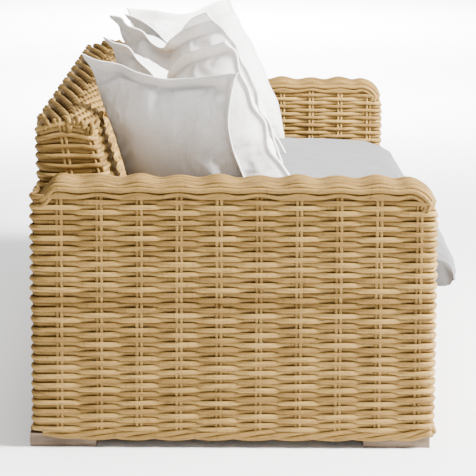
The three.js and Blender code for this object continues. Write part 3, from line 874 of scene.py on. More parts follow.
@dataclass(frozen=True)
class RolledBorder:
    """The border of an arm: canes laid side by side along its top, crested over each pair of stakes."""

    outer: float = WIDTH / 2
    radius: float = 0.0057
    rear: float = REAR_Y - 0.028
    bend: float = 0.068
    turn: float = math.radians(76.0)
    first_crest: float = 0.041
    crest_pitch: float = STAKE_PITCH
    crest_depth: float = 0.0035
    steps: int = 130
    side_canes: tuple[tuple[float, float, float], ...] = (
        (0.0012, 0.0205, 0.0030), (0.0000, 0.0104, 0.0016), (0.0072, 0.0026, 0.0030))
    top_canes: int = 10
    top_inset: float = 0.0185
    ripple: float = 0.0016
    slide: float = 0.0040
    rear_tuck: float = 0.022
    front_tuck: float = 0.012

    @property
    def front(self) -> float:
        """Returns where the middle of the canes stands at the front."""
        return REAR_Y - FRAME_DEPTH + self.radius + 0.002

    @property
    def bend_level(self) -> float:
        """Returns the height of the middle of the front bend."""
        return ARM_TOP - self.radius - self.bend

    def section(self) -> tuple[np.ndarray, np.ndarray, np.ndarray]:
        """Lists the canes from the outer side over the top to the inner side.

        Returns:
            Each cane's distance from the outer side, how far it lies below the top, and how much it waves.
        """
        across = ARM_WIDTH - 2 * self.radius
        side = np.array(self.side_canes)
        top = np.linspace(self.top_inset, across - self.top_inset, self.top_canes)
        places = np.concatenate([side[:, 0], top, across - side[::-1, 0]])
        sunk = np.concatenate([side[:, 1], np.zeros(self.top_canes), side[::-1, 1]])
        waves = np.concatenate([side[:, 2], np.full(self.top_canes, self.crest_depth), side[::-1, 2]])
        return places, sunk, waves

    def surface(self) -> Surface:
        """Builds the canes.

        The side view runs forward along the top and bends down an arc at the front. Each cane lies below
        that line by its own depth and by its wave times (cos of the stake phase less one).

        Returns:
            The border as one surface.
        """
        straight = self.rear - self.front - self.bend
        total = straight + self.turn * self.bend
        lengths = np.linspace(0.0, total, self.steps)
        angle = np.clip((lengths - straight) / self.bend, 0.0, self.turn)
        ahead = np.minimum(lengths, straight) + self.bend * np.sin(angle)
        height = self.bend_level + self.bend * np.cos(angle)
        places, sunk, waves = self.section()
        number = np.arange(len(places))[:, None]
        phase = 2 * math.pi * (lengths - self.first_crest) / self.crest_pitch
        calm = 1.0 - smoothstep(lengths, straight - 0.02, straight + 0.03)
        crest = waves[:, None] * (np.cos(phase)[None, :] - 1.0) * calm
        on_top = sunk[:, None] < 0.002
        ripple = self.ripple * np.cos(phase[None, :] / 2 + number * 2.1) * on_top
        tuck = self.rear_tuck * (1.0 - smoothstep(lengths, 0.0, 0.034))
        tuck = tuck + self.front_tuck * smoothstep(lengths, total - 0.014, total)
        proud = crest + ripple - sunk[:, None] - tuck
        slide = self.slide * np.sin(phase[None, :] / 2 + number * 1.3) * on_top
        shape = proud.shape
        points = np.stack([
            -(self.outer - self.radius) + places[:, None] + slide,
            self.rear - ahead - np.sin(angle) * proud,
            height + np.cos(angle) * proud,
        ], -1)
        normals = np.stack([np.zeros(shape), np.broadcast_to(-np.sin(angle), shape),
                            np.broadcast_to(np.cos(angle), shape)], -1)
        return tubes(points, normals, self.radius, seed=21)


@dataclass(frozen=True)
class Arm:
    """One woven arm with its rolled border."""

    side: Side
    inner: float = INNER_X
    outer: float = WIDTH / 2
    border: float = 0.576
    first_stake: float = 0.069
    stake_pitch: float = STAKE_PITCH
    stakes: int = 10
    style: WeaveStyle = WeaveStyle()
    roll: RolledBorder = RolledBorder()

    def knots(self, across: float, along: float) -> list[tuple[float, float]]:
        """Counts stakes around the arm from its outer rear corner: outer side, front, inner side, rear.

        A row that is outside at a pair next to a corner stays outside round that corner, so a corner stands
        at 0.2 of the way to the next pair.

        Args:
            across: Length of the short sides.
            along: Length of the long sides.

        Returns:
            The knots.
        """
        inset = self.style.depth
        last = self.stakes - 1
        start = self.first_stake - inset
        end = start + last * self.stake_pitch
        front = along + across
        return [
            (0.0, -0.2),
            *even_knots(start, end, 0, last),
            (along, last + 0.2),
            (along + across / 2, last + 1.0),
            (front, last + 1.8),
            *even_knots(front + along - end, front + along - start, last + 2, last),
            (front + along, 2 * last + 2.2),
            (front + along + across / 2, 2 * last + 3.0),
            (2 * front, 2 * last + 3.8),
        ]

    def wall(self, heights: np.ndarray, closed: bool, first_row: int) -> WovenWall:
        """Makes one height of the arm's wall.

        Args:
            heights: Heights of its rows.
            closed: Whether the rows also run along the inner face.
            first_row: Number of the top row, which sets whether it starts outside or inside.

        Returns:
            The wall.
        """
        inset = self.style.depth
        outer, inner = self.outer - inset, self.inner + inset
        rear, front = REAR_Y - inset, REAR_Y - FRAME_DEPTH + inset
        across, along = outer - inner, rear - front
        knots = self.knots(across, along)
        if closed:
            corners = [(-outer, rear), (-outer, front), (-inner, front), (-inner, rear)]
        else:
            edge = self.inner + self.style.strand
            corners = [(-edge, rear), (-outer, rear), (-outer, front), (-edge, front)]
            face = [(mark + outer - edge, count) for mark, count in knots if mark <= along + across]
            knots = [(0.0, -1.8), (across / 2, -1.0), *face]
        plan = wall_plan(corners, self.style.corner, closed)
        return WovenWall(plan, StakeLine(knots), heights, closed, self.style, first_row)

    def build(self, cane: bpy.types.Material, border: bpy.types.Material) -> None:
        """Builds the arm's weave and border and puts them in place of the plain solids."""
        heights = self.style.rows(BORDER_TOP, self.border)
        above = int(np.sum(heights > SEAT_HEIGHT - SKIN))
        upper = self.wall(heights[:above], True, 0)
        lower = self.wall(heights[above:], False, above)
        weave = Surface.join([upper.surface(), lower.surface()])
        weave.points = self.trim(weave.points)
        self.finish(weave, "arm_weave", cane)
        self.finish(self.roll.surface(), "arm_border", border)

    def finish(self, surface: Surface, name: str, material: bpy.types.Material) -> None:
        if self.side is Side.RIGHT:
            surface.points = surface.points * np.array([-1.0, 1.0, 1.0])
            surface.quads = surface.quads[:, ::-1]
            surface.uvs = surface.uvs.reshape(-1, 4, 2)[:, ::-1].reshape(-1, 2)
            surface.caps = [cap[:, ::-1] for cap in surface.caps]
        piece = surface.build(f"{name}_cane_{self.side.label}")
        declare(piece, material, FRAME, f"{name}_{self.side.label}")

    def trim(self, points: np.ndarray) -> np.ndarray:
        """Keeps the top rows behind the border's round front bend.

        Args:
            points: Points of the woven rows.

        Returns:
            The points, with those in front of the bend moved back to it.
        """
        border = self.roll
        level = np.clip((points[:, 2] - border.bend_level) / border.bend, 0.0, 1.0)
        limit = border.front + border.bend * (1.0 - np.sqrt(1.0 - level ** 2))
        points[:, 1] = np.where(level > 0.0, np.maximum(points[:, 1], limit), points[:, 1])
        return points


@dataclass
class BackWall(WovenWall):
    """A woven wall whose front leans back from the seat to the border."""

    seat_depth: float = 0.258
    top_depth: float = BACK_DEPTH
    edge_drop: float = 0.020
    sag: float = 0.005
    tilt: float = 0.31
    down_slope: float = 0.9

    def face_depth(self, heights: np.ndarray) -> np.ndarray:
        """Returns the depth of the front face at each height, a straight line from seat to border."""
        slope = (self.seat_depth - self.top_depth) / (BACK_BASE - SEAT_HEIGHT)
        return self.top_depth + (BACK_BASE - heights) * slope

    def lean(self, points: np.ndarray, normals: np.ndarray,
             heights: np.ndarray) -> tuple[np.ndarray, np.ndarray]:
        """Stretches the line in depth so that its front edge follows the raked face.

        On the ends the rows also sag a little in the middle, and the top ones drop at the edges, as the
        border above them does.

        Args:
            points: Points of the upright wall.
            normals: Their outward directions.
            heights: Their heights.

        Returns:
            The raked points and directions.
        """
        depth = REAR_Y - points[..., 1]
        arch = np.sin(math.pi * np.clip(depth / self.top_depth, 0.0, 1.0))
        sag = self.sag * arch * np.abs(normals[..., 0]) ** 2 * (1.0 - smoothstep(heights, 0.66, 0.71))
        edge = self.edge_drop * (1.0 - arch) * smoothstep(heights, 0.60, 0.715)
        facing = np.clip(-normals[..., 1], 0.0, 1.0)
        hidden = self.down_slope * facing * np.clip(heights - BACK_BASE, 0.0, None)
        points[..., 2] -= sag + np.maximum(edge, hidden)
        points[..., 1] = REAR_Y - depth * self.face_depth(heights) / self.top_depth
        normals[..., 2] += self.tilt * facing
        return points, unit(normals)


@dataclass(frozen=True)
class Plait:
    """The wide plaited top of the back: canes run slantwise from both edges to a middle line."""

    half: float = BODY_HALF
    radius: float = 0.0060
    run: float = 0.54
    pair_pitch: float = 0.147
    twist: float = 0.085
    spread: float = 0.0056
    middle: float = 0.086
    edge: float = 0.0060
    rear_level: float = 0.6990
    bump: float = 0.0095
    crown_level: float = 0.7232
    front_level: float = 0.6900
    width: float = 0.144
    knuckle_place: float = 0.050
    knuckle_width: float = 0.036
    lean_out: float = 0.0055
    start_dip: float = 0.015
    end_dip: float = 0.014
    overlap: float = 0.006
    near_gap: float = 0.010
    overrun: float = 0.014
    down_slope: float = 0.9
    twist_rise: float = 0.7
    steps: int = 44

    def level(self, depth: np.ndarray) -> np.ndarray:
        """Gives the height of the canes' middle: a quarter sine up to the crown, then a parabola down."""
        rise = np.sin(0.5 * math.pi * np.clip(depth / self.middle, 0.0, 1.0))
        fall = np.clip((depth - self.middle) / (self.width - self.middle), 0.0, 1.2) ** 2
        return self.rear_level + (self.crown_level - self.rear_level) * rise \
            - (self.crown_level - self.front_level) * fall

    def canes(self, from_rear: bool, seed: int) -> Surface:
        """Builds the canes of one half.

        Two canes twisted about each other start at the edge, run towards the near end while they cross to
        the middle line, and dip under the canes of the other half. They stand proud in a knuckle where they
        come up at the edge, and where they meet an end of the back they turn down.

        Args:
            from_rear: Whether this is the rear half.
            seed: Start of the random tones.

        Returns:
            The half's surface.
        """
        first = -self.half + self.near_gap + (0.0 if from_rear else 0.5 * self.pair_pitch)
        starts = np.repeat(np.arange(first, self.half + self.run, self.pair_pitch), 2)
        limit = self.half - self.radius
        low = np.clip((starts - limit) / self.run, 0.0, 1.0)
        high = np.clip((starts + limit + self.overrun) / self.run, 0.0, 1.0)
        kept = high - low > 0.05
        starts, low, high = starts[kept], low[kept], high[kept]
        travel = low[:, None] + (high - low)[:, None] * np.linspace(0.0, 1.0, self.steps)
        far = self.width - self.edge
        if from_rear:
            depth = self.edge + (self.middle + self.overlap - self.edge) * travel
        else:
            depth = far - (far - self.middle + self.overlap) * travel
        x = starts[:, None] - self.run * travel
        past = np.clip(-limit - x, 0.0, None)
        knuckle = np.exp(-(((travel - self.knuckle_place) / self.knuckle_width) ** 2))
        partner = (np.arange(len(starts)) % 2)[:, None]
        angle = 2 * math.pi * self.run * travel / self.twist + math.pi * partner
        height = self.level(depth) - self.down_slope * past
        height -= self.start_dip * (1.0 - smoothstep(travel, 0.0, 0.06))
        height -= self.end_dip * smoothstep(travel, 0.86, 1.0)
        height += self.bump * knuckle + self.twist_rise * self.spread * np.sin(angle)
        outward = self.lean_out * knuckle * (1.0 if from_rear else -1.0) + self.spread * np.cos(angle)
        points = np.stack([np.maximum(x, -limit), REAR_Y - depth + outward, height], -1)
        side = (depth - self.middle) * -0.7 / self.middle
        normals = np.stack([-past / 0.02, side, np.ones_like(depth)], -1)
        return tubes(points, unit(normals), self.radius, seed=seed)

    def surface(self) -> Surface:
        """Builds both halves."""
        return Surface.join([self.canes(True, 31), self.canes(False, 32)])


@dataclass(frozen=True)
class Back:
    """The woven back with its plaited top."""

    style: WeaveStyle = WeaveStyle(step=0.0128)
    half: float = BODY_HALF
    top_row: float = 0.7185
    arm_level: float = 0.565
    gaps: int = 19
    end_pairs: tuple[float, float] = (0.068, 0.132)
    plait: Plait = Plait()

    def knots(self, across: float, width: float) -> list[tuple[float, float]]:
        """Counts stakes around the back from its rear corner at the left: end, front, end, rear.

        Args:
            across: Length of the ends.
            width: Length of the front and rear.

        Returns:
            The knots.
        """
        inset = self.style.depth
        first, second = self.end_pairs[0] - inset, self.end_pairs[1] - inset
        ease, margin, half_count = 0.018, 0.050, 0.42
        far = across + width
        last = self.gaps + 2
        end = far + across
        return [
            (0.0, -0.2), (first, 0.0), (first + ease, half_count), (second - ease, half_count),
            (second, 0.0), (across, 0.1), *even_knots(across + margin, far - margin, 1, self.gaps),
            (far, last - 0.1), (end - second, last), (end - second + ease, last + half_count),
            (end - first - ease, last + half_count), (end - first, last), (end, last + 0.2),
            *even_knots(end + margin, 2 * far - margin, last + 1, self.gaps), (2 * far, 2 * last - 0.2),
        ]

    def build(self, cane: bpy.types.Material, border: bpy.types.Material) -> None:
        """Builds the back's weave and plait and puts them in place of the plain solids.

        Above the arms the rows run all round. Below, the front and the rear are walls of their own.
        """
        inset = self.style.depth
        half = self.half - inset
        rear, front = REAR_Y - inset, REAR_Y - BACK_DEPTH + inset
        across, width = rear - front, 2 * half
        knots = self.knots(across, width)
        heights = self.style.rows(BORDER_TOP, self.top_row)
        above = int(np.sum(heights > self.arm_level))
        seat = int(np.sum(heights > SEAT_HEIGHT))
        corners = [(-half, rear), (-half, front), (half, front), (half, rear)]
        loop = wall_plan(corners, self.style.corner, True)
        parts = [BackWall(loop, StakeLine(knots), heights[:above], True, self.style, 0, seed=5).surface()]
        edge = self.half - self.style.strand
        lines = (
            (BackWall, [(-edge, front), (edge, front)], across, seat, 6),
            (WovenWall, [(edge, rear), (-edge, rear)], 2 * across + width, len(heights), 7),
        )
        for kind, corners, start, low, seed in lines:
            line = wall_plan(corners, self.style.corner, False)
            near = [(mark - start, count) for mark, count in knots]
            face = [(mark + edge - half, count) for mark, count in near if -1e-6 <= mark <= width + 1e-6]
            wall = kind(line, StakeLine(face), heights[above:low], False, self.style, above, seed=seed)
            parts.append(wall.surface())
        weave = Surface.join(parts).build("back_weave_cane")
        declare(weave, cane, FRAME, "back_weave")
        declare(self.plait.surface().build("back_border_cane"), border, FRAME, "back_border")


@dataclass(frozen=True)
class Apron:
    """The woven front below the seat."""

    half: float = BODY_HALF
    gaps: int = 19
    style: WeaveStyle = WeaveStyle()

    def build(self, cane: bpy.types.Material) -> None:
        """Builds the apron's weave in place of the plain solid."""
        front = REAR_Y - FRAME_DEPTH + self.style.depth
        line = wall_plan([(-self.half, front), (self.half, front)], self.style.corner, False)
        heights = self.style.rows(BORDER_TOP, SEAT_HEIGHT - 0.002)
        wall = WovenWall(line, straight_stakes(self.half, self.gaps), heights, False, self.style, 1, seed=9)
        piece = wall.surface().build("apron_weave_cane")
        declare(piece, cane, FRAME, "apron_weave")


@dataclass
class DeckWall(WovenWall):
    """A woven wall laid flat: its heights are depths from the rear, and its outside faces up."""

    level: float = 0.3334

    def lean(self, points: np.ndarray, normals: np.ndarray,
             heights: np.ndarray) -> tuple[np.ndarray, np.ndarray]:
        """Lays the upright wall down.

        Args:
            points: Points of the upright wall.
            normals: Their outward directions. Not used: the laid-down wall faces straight up.
            heights: Their heights, read here as depths.

        Returns:
            The flat points and directions.
        """
        flat = np.stack([points[..., 0], REAR_Y - heights, np.full(heights.shape, self.level)], -1)
        return flat, np.broadcast_to(np.array([0.0, 0.0, 1.0]), flat.shape)


@dataclass(frozen=True)
class Deck:
    """The open woven deck under the bench cushion: thin canes along the width over cross stakes."""

    half: float = INNER_X - 0.0006
    rear: float = 0.2660
    front: float = 0.8980
    pitch: float = 0.0084
    gaps: int = 19
    style: WeaveStyle = WeaveStyle(
        strand=0.0030, wave=0.0028, stake=0.0025, stake_proud=0.0, stake_gap=0.0032, step=0.0150,
        wander=0.0004, inner_growth=0.0)

    def build(self, cane: bpy.types.Material) -> None:
        """Builds the deck's weave in place of the plain board."""
        line = wall_plan([(-self.half, 0.0), (self.half, 0.0)], self.style.corner, False)
        depths = np.arange(self.front, self.rear, -self.pitch)
        wall = DeckWall(line, straight_stakes(self.half, self.gaps), depths, False, self.style, 0, seed=11)
        piece = wall.surface().build("seat_deck_cane")
        declare(piece, cane, FRAME, "seat_deck_weave")


@dataclass(frozen=True)
class BaseBorder:
    """The twisted cane ropes around the foot of the body."""

    radius: float = 0.0068
    height: float = 0.0300
    pitch: float = STAKE_PITCH
    swing: float = 0.0078
    sideways: float = 0.0040
    end_rise: float = 0.009
    canes: int = 3
    step: float = 0.010
    inset: float = 0.011
    rear_gap: float = 0.030
    end_gap: float = 0.020

    def rope(self, start: tuple[float, float], end: tuple[float, float], seed: int) -> Surface:
        """Winds canes about a straight line: centre + swing (cos a sideways + sin a upwards).

        Each cane makes one turn in as many stake pitches as there are canes, so the lower edge is scalloped
        once in each pitch.

        Args:
            start: X and Y of one end.
            end: X and Y of the other end.
            seed: Start of the random tones.

        Returns:
            The rope as one surface.
        """
        first, last = np.array(start), np.array(end)
        way = (last - first) / np.linalg.norm(last - first)
        out = np.array([way[1], -way[0]])
        length = float(np.linalg.norm(last - first))
        lengths = np.linspace(0.0, length, max(8, int(length / self.step)))
        turn = 2 * math.pi * lengths[None, :] / (self.canes * self.pitch)
        angle = turn + np.arange(self.canes)[:, None] * 2 * math.pi / self.canes
        sideways = self.sideways * np.cos(angle)
        near_end = 1.0 - smoothstep(lengths, 0.0, 0.07) + smoothstep(lengths, length - 0.06, length)
        upward = self.swing * np.sin(angle) + self.end_rise * near_end
        flat = first + way * lengths[None, :, None] + out * sideways[..., None]
        points = np.concatenate([flat, (self.height + upward)[..., None]], -1)
        normals = np.broadcast_to(np.array([out[0], out[1], 0.0]), points.shape)
        return tubes(points, normals, self.radius, sides=8, seed=seed)

    def build(self, border: bpy.types.Material) -> None:
        """Builds the four ropes in place of the plain bars."""
        side, rear = WIDTH / 2 - self.inset, REAR_Y - self.inset
        front, corner = REAR_Y - FRAME_DEPTH + self.inset, REAR_Y - self.rear_gap
        runs = {
            "left": ((-side, corner), (-side, front)),
            "front": ((-side, front), (side, front)),
            "right": ((side, front), (side, corner)),
            "rear": ((side - self.end_gap, rear), (self.end_gap - side, rear)),
        }
        for seed, (name, (start, end)) in enumerate(runs.items()):
            piece = self.rope(start, end, 40 + seed).build(f"base_rope_{name}")
            declare(piece, border, FRAME, f"base_border_{name}")


# Cushions


# Where the random draws of each kind of fold start.
BENCH_DRAWS = 71
FLUTTER_DRAWS = 80
PUCKER_DRAWS = 90
FOLD_DRAWS = 100
DRAPE_DRAWS = 110


def closed_grid(rings: np.ndarray) -> Surface:
    """Joins rings of points into one closed skin, with a fan-like end face over each end.

    Args:
        rings: Points as (rings, around, 3), going so that the outside is on the outside of each ring.

    Returns:
        The closed surface.
    """
    count, around = rings.shape[:2]
    here = (np.arange(count - 1) * around)[:, None]
    turn = np.arange(around)[None, :]
    after = (turn + 1) % around
    ahead = here + around
    quads = np.stack([here + turn, ahead + turn, ahead + after, here + after], -1).reshape(-1, 4)
    caps = [np.arange(around)[None, :], ((count - 1) * around + np.arange(around)[::-1])[None, :]]
    return Surface.plain(rings.reshape(-1, 3), quads, caps)


def bezier(points: list[tuple[float, float]], steps: int) -> np.ndarray:
    """Follows a Bezier curve of two, three or four control points.

    Args:
        points: Control points.
        steps: Number of points, without the last one.

    Returns:
        Points on the curve.
    """
    spots = np.array(points, float)
    share = np.arange(steps) / steps
    order = len(spots) - 1
    weights = [math.comb(order, k) * share ** k * (1 - share) ** (order - k) for k in range(order + 1)]
    return np.stack(weights, -1) @ spots


def swell(piece: bpy.types.Object, held: np.ndarray, pressure: float, looseness: float, cap: float,
          frames: int = 16) -> None:
    """Lets the cloth of a piece swell and wrinkle, and keeps the result in its mesh.

    Cloth is simulated on the piece without gravity; no point may move further than the cap.

    Args:
        piece: The padded piece.
        held: How firmly each point is held, from 0 to 1.
        pressure: Pressure of the filling.
        looseness: How much larger the cloth is than the shape, as a share.
        cap: The furthest a point may move.
        frames: Steps of the simulation.
    """
    mesh = piece.data
    group = piece.vertex_groups.new(name="held")
    levels = np.round(held, 2)
    for level in np.unique(levels[levels > 0.0]):
        group.add(np.flatnonzero(levels == level).tolist(), float(level), "REPLACE")
    modifier = piece.modifiers.new("swell", "CLOTH")
    settings = modifier.settings
    settings.effector_weights.gravity = 0.0
    settings.quality = 6
    settings.mass = 0.25
    settings.tension_stiffness = settings.compression_stiffness = 18.0
    settings.shear_stiffness = 8.0
    settings.bending_stiffness = 0.6
    settings.use_pressure = True
    settings.uniform_pressure_force = pressure
    settings.shrink_min = -looseness
    settings.vertex_group_mass = group.name
    settings.pin_stiffness = 1.0
    modifier.collision_settings.use_collision = False
    modifier.point_cache.frame_start = 1
    modifier.point_cache.frame_end = frames
    scene = bpy.context.scene
    for frame in range(1, frames + 1):
        scene.frame_set(frame)
    evaluated = piece.evaluated_get(bpy.context.evaluated_depsgraph_get())
    moved = np.empty(len(mesh.vertices) * 3, np.float32)
    evaluated.data.vertices.foreach_get("co", moved)
    before = np.empty_like(moved)
    mesh.vertices.foreach_get("co", before)
    change = (moved - before).reshape(-1, 3).astype(float)
    length = np.linalg.norm(change, axis=1, keepdims=True)
    change *= cap * np.tanh(length / cap) / np.maximum(length, 1e-9)
    piece.modifiers.remove(modifier)
    piece.vertex_groups.remove(group)
    scene.frame_set(1)
    mesh.vertices.foreach_set("co", (before.reshape(-1, 3) + change).astype(np.float32).ravel())
    mesh.update()
    furthest = 1000.0 * float(np.linalg.norm(change, axis=1).max())
    LOG.info("%s: cloth moved %.1f mm at most", piece.name, furthest)


def creases(points: np.ndarray, seed: int, wavelength: float, count: int = 24) -> np.ndarray:
    """Adds up sine waves in many directions into soft uneven folds.

    Args:
        points: Points as (..., 3).
        seed: Start of the random directions.
        wavelength: Typical distance from fold to fold.
        count: How many waves.

    Returns:
        Heights of the folds, from about -1 to 1.
    """
    draws = np.random.default_rng(seed)
    ways = unit(draws.normal(size=(count, 3)))
    ways = ways * (2 * math.pi / (wavelength * draws.uniform(0.6, 2.2, (count, 1))))
    starts = draws.uniform(0.0, 2 * math.pi, count)
    return np.sin(points @ ways.T + starts).sum(axis=-1) / math.sqrt(count)


@dataclass(frozen=True)
class BenchCushion:
    """The long seat cushion: crowned top, sloping nose over the front, drawn-in ends."""

    half: float = INNER_X - 0.004
    rear: float = 0.266
    front: float = 0.9655
    edge: float = 0.4220
    crown: float = 0.0200
    stations: int = 150
    station_bias: float = 0.85
    piping: float = 0.0032
    piping_proud: float = 0.0010
    seam_level: float = 0.358
    seam_search: int = 24
    lift: float = 0.0008
    camber: float = 0.014
    end_round: float = 0.042
    end_height: float = 0.66
    end_squeeze: float = 0.07
    slack_range: tuple[float, float] = (-0.45, 0.75)
    slack_set_back: float = 0.024
    fold_depth: float = 0.0016
    fold_length: float = 0.16

    def section(self, top: float, front: float, slack: float) -> np.ndarray:
        """Draws the side view in depth and height, starting at the lower rear edge.

        Args:
            top: Height of the top at this place.
            front: Depth of the nose.
            slack: 0 where the nose is full, 1 where it is most rounded.

        Returns:
            Points around the section.
        """
        seat, rear = SEAT_HEIGHT + self.lift, self.rear
        heel, sole = (rear + 0.014, seat), (front - 0.020, seat + 0.001)
        toe = (front, seat + 0.030)
        instep = (front, seat + 0.064 - 0.013 * slack)
        brow = (front - 0.017 - 0.013 * slack, top - 0.008 - 0.012 * slack)
        shoulder = (front - 0.060 - 0.028 * slack, top)
        rear_top, rear_low = (rear + 0.060, top - 0.001), (rear, seat + 0.046)
        runs = (
            ([heel, sole], 30),
            ([sole, (front - 0.002, seat + 0.002), toe], 10),
            ([toe, instep, brow, shoulder], 22),
            ([shoulder, ((front + rear) / 2, top + self.camber), rear_top], 34),
            ([rear_top, (rear, top - 0.004), rear_low], 10),
            ([rear_low, (rear, seat + 0.004), heel], 8),
        )
        return np.concatenate([bezier(points, steps) for points, steps in runs])

    def surface(self) -> Surface:
        """Builds the cushion from its sections, which shrink towards both ends."""
        turn = -np.cos(np.linspace(0.0, math.pi, self.stations))
        places = self.half * np.sign(turn) * np.abs(turn) ** self.station_bias
        rings = []
        for x in places:
            inward = min(1.0, (self.half - abs(x)) / self.end_round)
            shrink = self.end_height + (1 - self.end_height) * math.sqrt(1 - (1 - inward) ** 2)
            top = self.edge + self.crown * (1 - (x / self.half) ** 4)
            slack = float(smoothstep(np.array(x), *self.slack_range))
            front = self.front - self.slack_set_back * slack
            middle = np.array([(self.rear + front) / 2, SEAT_HEIGHT + 0.034])
            offset = self.section(top, front, slack) - middle
            offset[:, 0] *= 1 - (1 - shrink) * self.end_squeeze
            offset[:, 1] *= np.where(offset[:, 1] < 0, 1.0, shrink)
            placed = middle + offset
            rings.append(np.stack([np.full(len(placed), x), REAR_Y - placed[:, 0], placed[:, 1]], -1))
        return closed_grid(np.array(rings))

    def piping_surface(self, points: np.ndarray) -> Surface:
        """Runs a piping cord around the front and both ends, at the seam's level on the cushion's own skin.

        Args:
            points: The cushion's points as (stations, around, 3).

        Returns:
            The piping as one tube.
        """
        front = points[:, :, 1].argmin(axis=1)
        path = []
        for station in range(0, self.stations, 2):
            nose = front[station]
            ring = points[station, max(0, nose - self.seam_search):nose + self.seam_search]
            path.append(ring[np.abs(ring[:, 2] - self.seam_level).argmin()])
        line = np.array(path)
        kernel = np.array([0.25, 0.5, 0.25])
        for axis in (1, 2):
            padded = np.pad(line[:, axis], 1, mode="edge")
            line[:, axis] = np.convolve(padded, kernel, mode="valid")
        line[:, 1] -= self.piping_proud
        normals = np.broadcast_to(np.array([0.0, -1.0, 0.0]), line.shape)
        return tubes(line[None], normals[None], self.piping, sides=8, seed=60)

    def build(self, cloth: bpy.types.Material) -> None:
        """Builds the cushion and its piping in place of the plain solid."""
        surface = self.surface()
        shape = surface.points.reshape(self.stations, -1, 3)
        outward = unit(shape - shape.mean(axis=1, keepdims=True))
        above = smoothstep(shape[..., 2], SEAT_HEIGHT + 0.004, SEAT_HEIGHT + 0.040)
        folds = self.fold_depth * creases(shape, BENCH_DRAWS, self.fold_length) * above
        surface.points = (shape + outward * folds[..., None]).reshape(-1, 3)
        piece = surface.build("bench_cushion_cover")
        swell(piece, 1.0 - 0.75 * above.ravel(), pressure=1.2, looseness=0.012, cap=0.006)
        declare(piece, cloth, BENCH, "seat_cushion")
        points = np.empty(len(piece.data.vertices) * 3, np.float32)
        piece.data.vertices.foreach_get("co", points)
        welt = self.piping_surface(points.reshape(self.stations, -1, 3)).build("bench_cushion_piping")
        declare(welt, cloth, BENCH, "seat_cushion")


@dataclass(frozen=True)
class PillowPlace:
    """Where a scatter cushion leans and how its edges run.

    The corners are X, depth, height. The chop is how far the middle of the top edge is struck down and how
    wide that is; the bows move the middle of the front and rear edges forward in depth. The flanges are
    shares of the cushion's size at the front, rear, foot and top; the front one is folded back by the fold.
    The wrap is how far the front part of the whole cushion curls round, and the ridge is the height of the
    long folds that hang down its faces.
    """

    number: int
    rear_top: tuple[float, float, float]
    front_top: tuple[float, float, float]
    rear_foot: tuple[float, float, float]
    front_foot: tuple[float, float, float]
    chop: float
    chop_width: float = 0.20
    chop_place: float = 0.50
    front_bow: float = 0.0
    rear_bow: float = 0.0
    crown: float = 0.066
    fold: float = -0.006
    wrap: float = 0.0
    ridge: float = 0.0070
    flanges: tuple[float, float, float, float] = (0.022, 0.050, 0.012, 0.085)


PILLOWS = (
    PillowPlace(1, (-0.650, 0.100, 0.853), (-0.864, 0.480, 0.843), (-0.722, 0.243, 0.436),
                (-0.860, 0.612, 0.436), chop=0.034, chop_width=0.34, chop_place=0.46, front_bow=-0.068,
                rear_bow=-0.006, crown=0.060, fold=-0.030, ridge=0.0028,
                flanges=(0.062, 0.012, 0.012, 0.085)),
    PillowPlace(2, (-0.170, 0.124, 0.846), (-0.496, 0.385, 0.832), (-0.110, 0.262, 0.444),
                (-0.436, 0.550, 0.444), chop=0.095, chop_width=0.17, chop_place=0.52, front_bow=-0.008,
                crown=0.078, wrap=0.095),
    PillowPlace(3, (0.276, 0.116, 0.865), (-0.020, 0.358, 0.850), (0.326, 0.262, 0.444),
                (0.030, 0.532, 0.444), chop=0.060, front_bow=0.024, crown=0.076, wrap=0.080),
    PillowPlace(4, (0.483, 0.150, 0.853), (0.220, 0.356, 0.858), (0.543, 0.285, 0.443),
                (0.280, 0.566, 0.443), chop=0.070, front_bow=0.012, crown=0.072, wrap=0.055),
    PillowPlace(5, (0.700, 0.118, 0.838), (0.886, 0.425, 0.858), (0.640, 0.305, 0.438),
                (0.832, 0.608, 0.430), chop=0.026, chop_width=0.25, front_bow=0.034),
)


